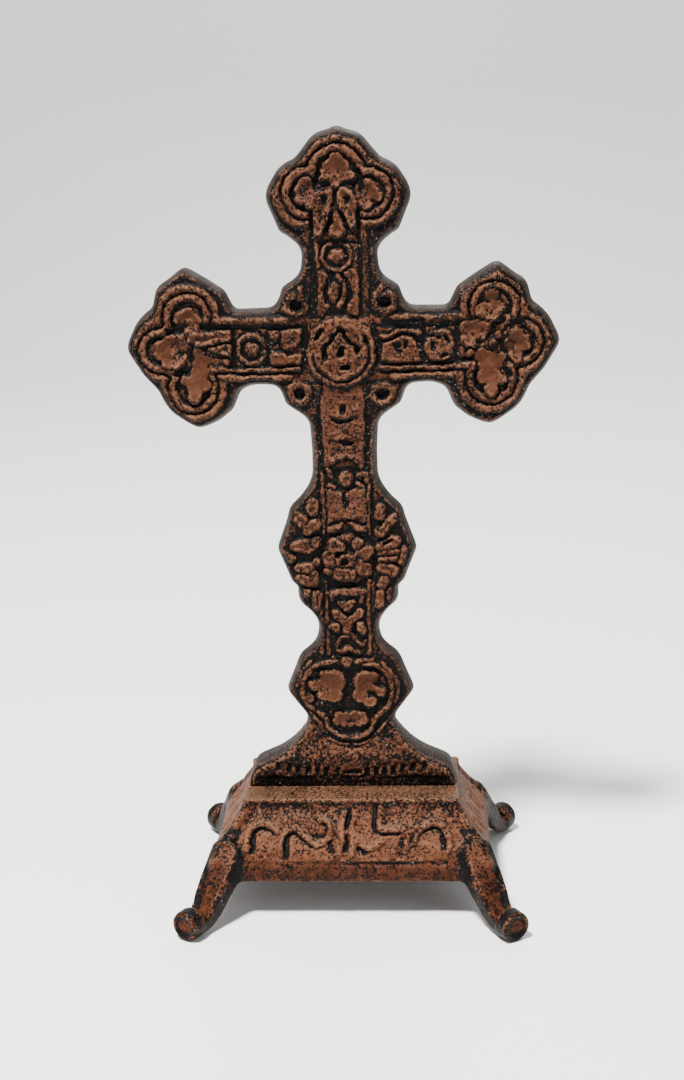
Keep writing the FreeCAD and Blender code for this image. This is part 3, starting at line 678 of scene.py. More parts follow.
def add_medallion(height, ink, x, z):
    """Round boss at the crossing, with two rims below and at the sides."""
    cx, cz = MEDALLION
    r = np.hypot(x - cx, z - cz)
    angle = np.degrees(np.arctan2(z - cz, x - cx))
    low_side = smooth_step(60, 20, np.abs(angle + 75) - 70)
    body = 1.15 * rounded(12.0 - r, 1.3) + 0.35 * bead(r, 5.0, 5.0)
    rims = 0.50 * (bead(r, 10.5, 0.8) + bead(r, 8.1, 0.8)) * low_side
    lines = (bead(r, 9.3, 0.5) + 0.8 * bead(r, 11.6, 0.4)) * low_side
    height = np.where(r < 12.2, np.maximum(body + rims - 0.45 * lines, height * (r > 11)), height)
    ink = np.where(r < 12.0, 0.0, ink)
    return height, np.maximum(ink, 0.85 * lines * (r < 12.2))


# Rosettes: centre x and z, radius of the ring, petals, angle of the first petal.
ROSETTES = [(-29.7, 195.0, 4.7, 6, 20), (-0.7, 225.2, 4.5, 5, 90)]


def add_rosettes(height, ink, x, z):
    """A petalled heart in a raised ring, with black round both."""
    for cx, cz, ring_r, petal_count, first in ROSETTES:
        r = np.hypot(x - cx, z - cz)
        ring_height = 0.85 * bead(r, ring_r, 0.95)
        wobble = 0.35 * np.cos(np.arctan2(z - cz, x - cx) * petal_count + math.radians(first))
        heart = 0.9 * rounded(2.3 + wobble - r, 1.1)
        here = r < ring_r + 1.2
        moat = np.maximum(bead(r, 0.5 * (ring_r + 2.4) + 0.1, 0.7), 0.8 * bead(r, ring_r + 1.2, 0.4))
        height = np.where(here, np.maximum(ring_height, heart) - 0.1, height) - 0.35 * moat
        ink = np.maximum(np.where(here, 0.0, ink), moat)
    return height, ink


def add_bracket_rings(height, ink, x, z):
    """Raised rings round a black hole, where the brackets meet the arms."""
    for cx, cz in BRACKET_RINGS:
        r = np.hypot((x - cx) * 0.95, z - cz)
        here = r < 4.4
        hole = smooth_step(2.15, 1.35, r)
        height = np.where(here, np.maximum(height, 0.95 * bead(r, 3.1, 1.3)), height) - 1.3 * hole
        ink = np.maximum(np.where(here & (r > 2.2), np.minimum(ink, 0.25), ink), hole)
    return height, ink


FLOWER = (0.4, 122.6)


def add_flower(height, ink, x, z):
    """Disc of the flower in the middle lobe, in a black ring."""
    r = np.hypot(x - FLOWER[0], z - FLOWER[1]) + 0.35 * lattice_noise(x, z, 2.6, 73)
    disc = 0.65 * rounded(8.9 - r, 1.4)
    ring = bead(r, 9.7, 0.9)
    height = np.where(r < 8.9, disc, height) - 0.35 * ring
    ink = np.where(r < 8.9, 0.15, ink)
    return height, np.maximum(ink, (0.55 + 0.45 * patchy(x, z, 75, 0.0)) * ring)


def add_bands(height, ink, x, z):
    wear = patchy(x, z, 69, 0.0)
    for x_from, x_to, z_from, z_to in BLACK_BANDS:
        middle = (x_from + x_to) / 2, (z_from + z_to) / 2
        half = (x_to - x_from) / 2, (z_to - z_from) / 2
        band = smooth_step(-0.4, 0.3, box_depth(x, z, *middle, *half))
        height = height - 0.35 * band
        ink = np.maximum(ink, (0.35 + 0.55 * wear) * band)
    return height, ink


FRINGE_TICKS = (-26.0, -22.1, -18.6, -15.4, -12.1, -8.9, -4.9, 5.3, 8.4, 11.6, 14.6, 17.9, 21.4, 25.6)


def add_foot(height, ink, x, z):
    """Foot plate: a worn band with a row of slots cut along its lower edge."""
    foot = smooth_step(58.0, 54.0, z + 0.12 * np.abs(x))
    band = 0.50 * smooth_step(43.2, 44.4, z) * smooth_step(55.0, 50.0, z)
    height = np.where(z < 58, height * (z > 52) + band * foot, height)
    for place in FRINGE_TICKS:
        rise = 0.004 * place * place
        tick = smooth_step(0.95, 0.55, np.abs(x - place)) * smooth_step(43.2, 43.7, z - rise)
        tick = tick * smooth_step(46.9, 46.2, z - rise)
        above = 0.6 * smooth_step(0.6, 0.2, np.abs(x - place - 0.5))
        above = above * smooth_step(46.8, 47.4, z) * smooth_step(49.2, 48.4, z)
        height = height - 0.95 * tick - 0.3 * above
        ink = np.maximum(ink, np.maximum(tick, above))
    dash = smooth_step(3.4, 2.9, np.abs(x - 0.4)) * smooth_step(44.2, 44.7, z) * smooth_step(46.3, 45.7, z)
    height = height - 0.8 * dash
    ink = np.maximum(ink, dash)
    low = smooth_step(46.5, 43.0, z) * 0.24
    side = smooth_step(12.0, 24.0, np.abs(x)) * (z < 56) * 0.20
    middle = bead(z, 49.6, 2.6) * 0.20 * (z < 60)
    return height, np.maximum(ink, low + side + middle)


def add_grime(ink, x, z):
    """Fine black left all over, most of it on the shaft, the neck and the foot plate."""
    aside = np.abs(x)
    shaft = smooth_step(184, 180, z) * smooth_step(86, 90, z) * smooth_step(15, 12, aside)
    plate = smooth_step(62, 57, z)
    arms = smooth_step(46, 40, aside) * smooth_step(178, 181, z) * (z < 240)
    amount = 0.05 + 0.07 * np.maximum(shaft, arms) + 0.12 * plate
    amount = amount + (0.09 + 0.05 * shaft + 0.06 * plate) * patchy(x, z, 87, 0.0)
    levels = smooth_step(147, 152, z) * smooth_step(185, 182, z) + (z > 205) * smooth_step(233, 229, z)
    sides = smooth_step(7.4, 8.2, aside) * smooth_step(14.5, 13.0, aside) * levels
    amount = amount + sides * (0.14 + 0.24 * patchy(x, z, 89, 0.0))
    return np.where(ink < 0.5, ink + amount, ink)


def dark_ground(z):
    """Where the ground between the leaves of the middle and lower lobes keeps black."""
    middle = smooth_step(144, 141, z) * smooth_step(103, 106, z)
    neck = 0.55 * smooth_step(106, 104, z) * smooth_step(84, 86, z)
    lower = 0.75 * smooth_step(88, 86, z) * smooth_step(57, 59, z)
    return np.maximum(np.maximum(0.9 * middle, neck), lower)


def wandered(x, z):
    """The same places moved a little, so that no drawn line is quite true."""
    wx = x + 0.25 * lattice_noise(x, z, 4.5, 3) + 0.28 * lattice_noise(x, z, 1.7, 4)
    wz = z + 0.25 * lattice_noise(x, z, 4.5, 5) + 0.28 * lattice_noise(x, z, 1.7, 6)
    wx = wx + 0.14 * lattice_noise(x, z, 0.85, 83)
    wz = wz + 0.14 * lattice_noise(x, z, 0.85, 85)
    return wx, wz


def drawn_relief(x, z):
    """Height of the ornament over its ground, the black that stays on it, and its clean leaves."""
    wx, wz = wandered(x, z)
    relief = 0.12 * lattice_noise(x, z, 3.3, 12)
    ink = np.zeros_like(x)
    relief, ink = add_mouldings(relief, ink, wx, wz)
    relief, ink = add_bands(relief, ink, wx, wz)
    for leaves in LEAF_SETS:
        relief, ink = add_leaves(relief, ink, wx, wz, *leaves)
    clean = np.maximum(-ink, 0)
    for add in (add_medallion, add_rosettes, add_bracket_rings):
        relief, ink = add(relief, ink, wx, wz)
    relief = add_folds(relief, wx, wz)
    ground = dark_ground(wz) * smooth_step(0.42, 0.15, relief)
    ink = np.maximum(ink, 0.85 * ground * (0.30 + 0.70 * patchy(x, z, 71, 0.0)))
    relief, ink = add_flower(relief, ink, wx, wz)
    relief, ink = add_chains(relief, ink, wx, wz, STRANDS, 1.15, 1.0, 0.15)
    relief, ink = add_chains(relief, ink, wx, wz, BUTTONS, 1.70, 2.0, 0.62)
    relief, ink = cut_grooves(relief, ink, wx, wz, GROOVES, -0.35)
    relief, ink = add_foot(relief, ink, wx, wz)
    return relief, add_grime(ink, wx, wz), clean


def cross_height(x, z, d):
    """Height of the front above the parting plane, how much black stays on it, and how far up the
    drafted side each point is; d is the distance inside the silhouette."""
    relief, ink, clean = drawn_relief(x, z)
    low_down = smooth_step(66, 58, z)
    draft = FLANK - 1.1 * low_down
    inside = smooth_step(draft + 0.1, draft + 0.9, d)
    reach = 0.3 + 0.9 * smooth_step(60, 66, z) * patchy(x, z, 91, 0.2)
    edge = smooth_step(draft + reach + 0.6, draft + reach, d) * smooth_step(draft - 0.6, draft - 0.1, d)
    ink = np.maximum(ink * inside, (0.8 - 0.5 * smooth_step(60, 56, z)) * edge)
    ink = ink - clean * smooth_step(0.45, 0.20, ink)
    up_side = np.clip(d / draft, 0, 1)
    flank = 1 - (1 - up_side) ** (2.2 + 1.5 * low_down)
    thicken = (FOOT_HALF_THICKNESS - HALF_THICKNESS) * smooth_step(66, 45, z)
    grain = 0.09 * lattice_noise(x, z, 0.95, 8) + 0.12 * lattice_noise(x, z, 2.1, 9)
    body = (GROUND + thicken) * flank + relief * inside
    return body + grain * np.clip(d / 0.8, 0, 1), ink, up_side


# ---------------------------------------------------------------- cross: mesh

GRID_STEP = 0.495
# Hollows are told from edges by the height above this level only.
HOLLOW_FLOOR = 3.5


def edge_grid():
    """Grid of points over the cross, those beside the silhouette moved onto it."""
    xs = np.arange(-76.0, 76.0 + GRID_STEP, GRID_STEP)
    zs = np.arange(SEAT_Z, CROSS_TOP + 3, GRID_STEP)
    gx, gz = np.meshgrid(xs, zs, indexing="ij")
    points = np.column_stack([gx.ravel(), gz.ravel()])
    distance, nearest = nearest_on_loop(points, closed_outline(OUTLINE))
    near = np.abs(distance) < 0.5 * GRID_STEP
    points = np.where(near[:, None], nearest, points)
    seat_row = points[:, 1] < SEAT_Z + 0.5 * GRID_STEP
    points[:, 1] = np.where(seat_row & near, SEAT_Z, points[:, 1])
    index = np.arange(len(points)).reshape(gx.shape)
    return points, np.where(near, 0.0, distance), near, index


def grid_cells(index, kept):
    """Cells of the grid with all four corners kept, then the triangles where three are."""
    corners = np.column_stack([index[:-1, :-1].ravel(), index[1:, :-1].ravel(),
                               index[1:, 1:].ravel(), index[:-1, 1:].ravel()])
    count = kept[corners].sum(1)
    triangles = corners[count == 3]
    return corners[count == 4].tolist() + triangles[kept[triangles]].reshape(-1, 3).tolist()


def seat_faces(row, back_id, kept, near):
    """Faces of the flat seat, between the front and back of the bottom row."""
    faces = []
    for a, b in zip(row[:-1], row[1:]):
        if kept[a] and kept[b] and not (near[a] and near[b]):
            loop = [a, back_id[a], back_id[b], b]
            faces.append([v for i, v in enumerate(loop) if v != loop[i - 1]])
    return faces


def new_piece(name, verts, faces, marks):
    """A casting from places in millimetres, with its marks kept on the points."""
    mesh = smooth_mesh(name, (verts * MM).tolist(), faces)
    for label, values in marks.items():
        attribute = mesh.attributes.new(label, "FLOAT", "POINT")
        attribute.data.foreach_set("value", np.asarray(values, dtype=np.float32))
    return new_object(name, mesh)


def build_cross():
    """Closed casting: a relief front and back that share the silhouette at the parting plane."""
    points, distance, near, index = edge_grid()
    kept = near | (distance > 0)
    height, ink, up_side = cross_height(points[:, 0], points[:, 1], np.maximum(distance, 0))
    height = np.where(near, 0.0, height)
    level = np.maximum(np.where(distance > 0, height, 0), HOLLOW_FLOOR).reshape(index.shape)
    hollow = (blurred(level, 2) - level).ravel()
    verts = np.vstack([np.column_stack([points[:, 0], y, points[:, 1]]) for y in (-height, height)])
    back_id = np.where(near, index.ravel(), index.ravel() + len(points))
    front = grid_cells(index, kept)
    faces = front + [back_id[face][::-1].tolist() for face in front]
    faces += seat_faces(index[:, 0], back_id, kept, near)
    used = np.zeros(len(verts), bool)
    used[np.concatenate(faces)] = True
    remap = np.cumsum(used) - 1
    faces = [remap[face].tolist() for face in faces]
    marks = {"hollow": hollow, "ink": ink, "face": up_side}
    marks = {label: np.tile(values, 2)[used] for label, values in marks.items()}
    return new_piece("cross_casting", verts[used], faces, marks)


# ---------------------------------------------------------------- surface of a solid field

# The four cells round an edge of the grid, in order.
RING = ((-1, -1), (0, -1), (0, 0), (-1, 0))


def crossings(field, axis):
    """Grid edges along an axis that the surface cuts, the places of the cuts, and whether each edge
    starts inside."""
    low, high = [slice(None)] * 3, [slice(None)] * 3
    low[axis], high[axis] = slice(None, -1), slice(1, None)
    a, b = field[tuple(low)], field[tuple(high)]
    where = np.argwhere((a < 0) != (b < 0))
    fa, fb = a[tuple(where.T)], b[tuple(where.T)]
    place = where.astype(float)
    place[:, axis] += fa / (fa - fb)
    return where, place, fa < 0


def surface_nets(field, origin, step):
    """Quads on the zero surface of a field sampled on a regular grid, negative inside."""
    cells = np.array(field.shape) - 1
    total = int(cells.prod())
    strides = np.array([cells[1] * cells[2], cells[2], 1])
    sums, hits = np.zeros((total, 3)), np.zeros(total)
    quads = []
    for axis in range(3):
        where, place, inside = crossings(field, axis)
        ids = []
        for du, dv in RING:
            cell = where.copy()
            cell[:, (axis + 1) % 3] += du
            cell[:, (axis + 2) % 3] += dv
            flat = cell @ strides
            ids.append(flat)
            for k in range(3):
                sums[:, k] += np.bincount(flat, place[:, k], total)
            hits += np.bincount(flat, minlength=total)
        ring_ids = np.column_stack(ids)
        quads.append(np.where(inside[:, None], ring_ids, ring_ids[:, ::-1]))
    used = hits > 0
    remap = np.cumsum(used) - 1
    verts = origin + step * sums[used] / hits[used][:, None]
    return verts, remap[np.vstack(quads)]


def sample(field, points, origin, step):
    """Trilinear value of a gridded field at points."""
    place = (points - origin) / step
    base = np.clip(np.floor(place).astype(int), 0, np.array(field.shape) - 2)
    frac = place - base
    value = np.zeros(len(points))
    for corner in range(8):
        offset = np.array([(corner >> k) & 1 for k in range(3)])
        weight = np.prod(np.where(offset, frac, 1 - frac), axis=1)
        value += weight * field[tuple((base + offset).T)]
    return value


def blurred(field, cells):
    """Box-blurred copy, two passes along every axis."""
    result = field
    size = 2 * cells + 1
    for axis in range(field.ndim):
        for _ in range(2):
            padded = np.concatenate([np.take(result, [0] * (cells + 1), axis), result,
                                     np.take(result, [-1] * cells, axis)], axis)
            total = np.cumsum(padded, axis)
            length = result.shape[axis]
            high = np.take(total, range(size, size + length), axis)
            low = np.take(total, range(0, length), axis)
            result = (high - low) / size
    return result


def soft_union(a, b, blend):
    """Union of two shapes given as distances, negative inside, with a soft inner corner."""
    return -joined(-a, -b, blend)


# ---------------------------------------------------------------- stand

STAND_STEP = 0.58
STAND_LOW = (-61.5, -50.0, -1.0)
STAND_HIGH = (61.5, 50.0, 42.0)
# Levels of the flared body: z, half width, half depth.
BODY_LEVELS = [
    (13.6, 47.9, 29.6), (17, 48.3, 30), (20, 48.5, 30.1), (21.6, 48.2, 29.8), (24, 46.9, 28),
    (27, 44.6, 25.9), (30, 42.3, 23.9), (33, 40.3, 22.1), (35.5, 38.7, 20.6), (37, 37.7, 19.7),
    (38.2, 37.4, 19.4), (40, 37.6, 19.6),
]
APRON_BOTTOM = 13.7
WALL = 3.2
# Turns a level distance from a sloping wall into the distance square to it.
WALL_SLOPE = 0.84
TOP_WALL = 4.0
CAVITY_TOP = SEAT_Z - TOP_WALL
KNEE = (45.0, 29.0)
SPLAY = math.radians(57.0)
# Way of a leg, out along the splay: out, z, half width, half thickness.
LEG_WAY = [
    (-5.5, 26.5, 5.4, 2.8), (-3.5, 23.5, 6.3, 3.3), (-1, 19.5, 6.5, 3.6), (2, 15.2, 6.2, 3.5),
    (5, 10.8, 5.5, 3.2), (8, 7.2, 4.9, 2.9), (11, 4.9, 4.6, 2.6), (14, 4.1, 4.5, 2.5),
    (17.5, 4.6, 4.4, 2.6),
]
ARCH_LENGTH = 5.5
# Knob: place out along the splay, z, radius, half thickness.
KNOB = (17.6, 5.25, 5.25, 3.1)
SCREW_PLACES = (-22.0, 22.0)
SEAT_BOSS = (6.8, 33.5)
HOLE_RADIUS = 2.75

# Scrolls on the long faces: raised stems, and the black hollows beside and under them.
VINE_STEMS = [
    [(-35.4, 25, 0.9), (-35.6, 29, 0.8), (-32.8, 32.4, 0.8), (-28.4, 32.2, 0.8), (-25.6, 30.6, 0.6)],
    [(-24, 24, 0.7), (-23.4, 28.6, 0.7), (-20.4, 31.2, 0.8), (-16.6, 29.4, 0.8), (-12.8, 26.8, 0.8),
     (-8.6, 27.6, 0.8), (-6.9, 30.6, 0.8), (-8.6, 33.6, 0.7), (-11, 33.4, 0.6)],
    [(-4.6, 23.2, 0.6), (-2.6, 26.8, 0.8), (-3.2, 31, 0.9), (-1.8, 35.4, 0.7)],
    [(0.2, 22.6, 0.6), (0.9, 27.4, 1.1), (0.3, 31.4, 1), (1, 35.2, 0.6)],
    [(1.6, 28.2, 0.8), (4.2, 25.8, 0.8), (7.6, 25.9, 0.8), (11, 27.4, 0.7)],
    [(10.2, 37, 0.7), (9.8, 33.2, 0.8), (10.8, 31, 0.8), (14.4, 31, 0.8), (18.8, 31, 0.8),
     (19.8, 28.4, 0.7), (18.9, 24.4, 0.7)],
    [(21.4, 27, 0.7), (24, 30.8, 0.8), (28.4, 32.8, 0.8), (32, 31.2, 0.8), (33.8, 27.6, 0.8),
     (33.4, 24.6, 0.8)],
]
VINE_HOLLOWS = [
    [(-33.9, 24.6, 1.1), (-33.9, 28.4, 0.8), (-31.9, 31, 0.5), (-28.4, 31, 0.4), (-26.4, 29.8, 0.3)],
    [(-22.3, 22.4, 0.7), (-22, 27.6, 1), (-20.2, 29.8, 0.4), (-17.2, 28.2, 0.35), (-13.4, 25.7, 0.35)],
    [(-11.8, 28.6, 0.5), (-9.4, 28.6, 0.4), (-8.3, 30.6, 0.4), (-9.2, 32.6, 0.4)],
    [(-7, 26.8, 0.8), (-6.4, 24.4, 0.8)], [(-1.7, 25, 0.9), (-1.2, 28.6, 0.9)],
    [(-1.6, 31.6, 0.6), (-0.3, 35.8, 0.8)], [(2.8, 25, 0.5), (5, 24.2, 0.9)],
    [(8.6, 37, 0.7), (8.3, 33, 0.9), (8.9, 30.2, 0.6), (12.6, 29.4, 0.35), (16.8, 29.6, 0.35)],
    [(17.6, 27.8, 0.6), (17, 23.8, 1.2)], [(20.4, 27.2, 0.4), (23, 30.4, 0.4)],
    [(25.4, 30.2, 0.3), (29.4, 31.3, 0.4), (31.8, 29, 0.5), (32.1, 25.6, 0.9)],
]


# Scroll beside the frame of a short face: distance from its middle, z, radius.
SIDE_SCROLL = [(9.0, 25.0, 0.8), (10.6, 30.0, 0.8), (14.6, 31.2, 0.8), (16.8, 28.2, 0.8), (14.6, 26.2, 0.8)]


def body_profile(z):
    """Half width and half depth of the body at each height."""
    levels = np.array(BODY_LEVELS)
    return np.interp(z, levels[:, 0], levels[:, 1]), np.interp(z, levels[:, 0], levels[:, 2])


def rounded_rectangle(x, y, half_x, half_y, corner):
    return past_corner(np.abs(x) - half_x + corner, np.abs(y) - half_y + corner) - corner


def vine_relief(x, z):
    """Height of the scrolls and the ledge groove on a long face, and where black stays."""
    wx = x + 0.25 * lattice_noise(x, z, 3.1, 21) + 0.20 * lattice_noise(x, z, 1.3, 24)
    wz = z + 0.25 * lattice_noise(x, z, 3.1, 22) + 0.20 * lattice_noise(x, z, 1.3, 25)
    stems = np.zeros_like(x)
    for chain in VINE_STEMS:
        stems = np.maximum(stems, rounded(chain_depth(wx, wz, chain) + 0.5, 1.3))
    ink = np.zeros_like(x)
    for chain in VINE_HOLLOWS:
        ink = np.maximum(ink, rounded(chain_depth(wx, wz, chain) + 0.35, 0.9))
    line = bead(wz, 20.7, 0.75) * (np.abs(wx + 1.0) < 34.0)
    strength = 0.45 + 0.55 * smooth_step(-6, 4, x)
    swell = 0.5 * smooth_step(21.5, 24.5, z) * smooth_step(36.5, 31.0, z)
    height = swell + 1.20 * stems - 0.80 * ink - 0.65 * line * strength
    broken = 0.35 + 0.65 * patchy(x, z, 23, 0.0)
    speckled = 0.10 + 0.36 * smooth_step(28.0, 36.0, z) + 0.16 * smooth_step(20.5, 19.0, z)
    speckled = speckled + 0.30 * smooth_step(16.6, 14.6, z) * patchy(x, z, 41, 0.0)
    return height, np.maximum(np.maximum(ink * broken, line * strength * broken), speckled)


def side_relief(y, z):
    """Small square frame in the middle of each short face, with a scroll on either side."""
    frame_line = bead(np.maximum(np.abs(y) - 5.2, np.abs(z - 28.5) - 3.6), 0.0, 0.8)
    boss = rounded(2.2 - np.hypot(y, z - 28.5), 1.0)
    scrolls = rounded(chain_depth(np.abs(y), z, SIDE_SCROLL) + 0.3, 1.2)
    line = bead(z, 20.7, 0.75) * (np.abs(y) < 17)
    return 0.5 * frame_line + 0.5 * boss + 0.6 * scrolls - 0.5 * line


def stand_body(x, y, z):
    """Distance outside the flared sides, with a ridge at each corner and grooves beside it."""
    half_x, half_y = body_profile(z)
    corner = 1.6 + 1.2 * smooth_step(40, 24, z)
    side = rounded_rectangle(x, y, half_x, half_y, corner) * WALL_SLOPE
    ridge = np.hypot(np.abs(x) - half_x + 1.3, np.abs(y) - half_y + 1.3) - 1.9
    side = soft_union(side, ridge * WALL_SLOPE, 0.8)
    groove = bead(np.abs(x) - half_x + 4.6, 0.0, 0.7) * (np.abs(y) > half_y - 3)
    groove = groove + bead(np.abs(y) - half_y + 4.6, 0.0, 0.7) * (np.abs(x) > half_x - 3)
    return side + 0.45 * groove * smooth_step(38.0, 35.0, z) * smooth_step(20.5, 22.5, z)


def leg_frame(x, y):
    """Distance out along the splay of the nearest leg, and across it."""
    ax, ay = np.abs(x) - KNEE[0], np.abs(y) - KNEE[1]
    along_x, along_y = math.cos(SPLAY), math.sin(SPLAY)
    return ax * along_x + ay * along_y, -ax * along_y + ay * along_x


def along_leg(out, across, z):
    """Distance from the strap's middle line, its half thickness and width there, and the distance
    across it, measured round the arch at its top end."""
    out = out + 0.075 * across ** 2 * smooth_step(11, 21, z)
    best = np.full(out.shape, FAR)
    half_w = np.zeros_like(out)
    half_t = np.zeros_like(out)
    way = np.zeros_like(out)
    start = 0.0
    for (ao, az, aw, at), (bo, bz, bw, bt) in zip(LEG_WAY, LEG_WAY[1:]):
        do, dz = bo - ao, bz - az
        length = math.hypot(do, dz)
        t = np.clip(((out - ao) * do + (z - az) * dz) / length ** 2, 0, 1)
        gap = np.hypot(out - ao - t * do, z - az - t * dz)
        closer = gap < best
        best = np.where(closer, gap, best)
        half_w = np.where(closer, aw + t * (bw - aw), half_w)
        half_t = np.where(closer, at + t * (bt - at), half_t)
        way = np.where(closer, start + t * length, way)
        start += length
    return best, half_t, half_w, np.hypot(across, np.maximum(0, ARCH_LENGTH - way))


def leg_field(out, across, z):
    """Cabriole strap that ends in a round knob; out runs along the splay."""
    best, half_t, half_w, v = along_leg(out, across, z)
    rim = 0.50 * bead(v, half_w - 1.25, 1.0) - 0.55 * (1 - np.clip(v / half_w, 0, 1) ** 2)
    thick = half_t + rim
    strap = past_corner(v - half_w + 1.1, best - thick + 1.1) - 1.1
    knob_out, knob_z, radius, half = KNOB
    r = np.hypot(across, z - knob_z)
    dish = 0.9 * smooth_step(radius - 1.1, radius - 3.0, r)
    knob = past_corner(r - radius + 1.3, np.abs(out - knob_out) - half + dish + 1.3) - 1.3
    return soft_union(strap, knob, 0.9)


def stand_cavity(x, y, z):
    """Distance outside the hollow, which leaves a cast seat standing round each screw."""
    half_x, half_y = body_profile(np.maximum(np.minimum(z, CAVITY_TOP), 14.0))
    cavity = rounded_rectangle(x, y, half_x - WALL, half_y - WALL, 2.5) * WALL_SLOPE
    cavity = np.maximum(cavity, z - CAVITY_TOP)
    for place in SCREW_PLACES:
        boss = np.maximum(np.hypot(x - place, y) - SEAT_BOSS[0], SEAT_BOSS[1] - z)
        cavity = np.maximum(cavity, -boss)
    return cavity


def stand_field(x, y, z):
    """Distance outside the stand, negative in its iron, and the black on its long faces."""
    half_x, half_y = body_profile(z)
    from_end, from_face = half_x - np.abs(x), half_y - np.abs(y)
    relief_long, ink_long = vine_relief(x[:, 0, :], z[:, 0, :])
    relief_short = side_relief(y[0, :, :], z[0, :, :])
    on_long = smooth_step(7.5, 5.5, from_face) * smooth_step(3.0, 5.5, from_end)
    on_short = smooth_step(7.5, 5.5, from_end) * smooth_step(3.0, 5.5, from_face)
    walls = stand_body(x, y, z) - 0.9 * relief_long[:, None, :] * on_long
    walls = walls - 0.9 * relief_short[None, :, :] * on_short
    speckle = 0.10 * lattice_noise(x + 0.7 * y, z + 0.4 * y, 1.1, 31)
    speckle = speckle + 0.13 * lattice_noise(x - y, z, 2.6, 32)
    block = np.maximum(walls + speckle, z - SEAT_Z)
    drop = 4.5 * np.clip((10.5 - np.maximum(from_end, from_face)) / 8, 0, 1) ** 2
    block = np.maximum(block, APRON_BOTTOM - drop - z)
    legs = leg_field(*leg_frame(x, y), z) + 0.8 * speckle
    solid = np.maximum(soft_union(block, legs, 2.2), -stand_cavity(x, y, z))
    for place in SCREW_PLACES:
        solid = np.maximum(solid, HOLE_RADIUS - np.hypot(x - place, y))
    return np.maximum(solid, -z), ink_long


def leg_ink(x, y, z):
    """Black along both edges of each strap, round the arch at its top and round the rim of each knob."""
    out, across = leg_frame(x, y)
    best, half_t, half_w, v = along_leg(out, across, z)
    wear = 0.50 + 0.50 * patchy(v + 3 * out, z, 33, 0.0)
    close = smooth_step(2.6, 1.2, best - half_t) * smooth_step(1.3, 0.5, v - half_w) * (out < 14.5)
    outer = 2.2 * smooth_step(0.0, -1.5, across)
    edge = smooth_step(half_w - 1.7 - outer, half_w - 0.8 - outer, v) * close
    face = (0.16 + 0.10 * outer) * smooth_step(0.2, 0.8, v / half_w) * close
    r = np.hypot(across, z - KNOB[1])
    rim = smooth_step(KNOB[2] - 3.0, KNOB[2] - 2.2, r) * (out > 14.0)
    return np.maximum(np.maximum(1.30 * edge, 1.40 * rim) * wear, face)


def stand_ink(x, y, z, face_ink):
    """Black on the stand: long faces, legs, lip, upper body, foot of the body, corner ridges, ledge."""
    half_x, half_y = body_profile(z)
    on_legs = leg_ink(x, y, z)
    worn = patchy(x, y + z, 43, 0.0)
    lip = smooth_step(36.8, 38.3, z) * smooth_step(39.2, 38.7, z)
    ridge = smooth_step(2.4, 1.2, np.hypot(half_x - np.abs(x), half_y - np.abs(y)))
    return np.max([
        face_ink * smooth_step(2.6, 1.8, half_y - np.abs(y)) * (z > 14.5),
        on_legs,
        (0.50 + 0.30 * worn) * lip,
        (0.34 + 0.10 * worn) * smooth_step(29, 35, z) * (z < 39.0),
        0.30 * smooth_step(21.0, 19.0, z) * smooth_step(10.0, 13.0, z),
        0.75 * ridge * smooth_step(20.0, 24.0, z),
        (0.24 + 0.18 * worn) * (z > 39.0),
    ], axis=0)


def build_stand():
    """Closed casting: body, hollow, legs and knobs in one surface."""
    low, step = np.array(STAND_LOW), STAND_STEP
    axes = [np.arange(start, end + step, step) for start, end in zip(STAND_LOW, STAND_HIGH)]
    field, ink_long = stand_field(*np.meshgrid(*axes, indexing="ij"))
    verts, quads = surface_nets(field, low, step)
    hollow = -sample(blurred(field, 2), verts, low, step)
    column = np.clip(np.round((verts - low) / step).astype(int), 0, np.array(field.shape) - 1)
    ink = stand_ink(*verts.T, ink_long[column[:, 0], column[:, 2]])
    return new_piece("stand_casting", verts, quads.tolist(), {"hollow": hollow, "ink": ink})


# ---------------------------------------------------------------- materials

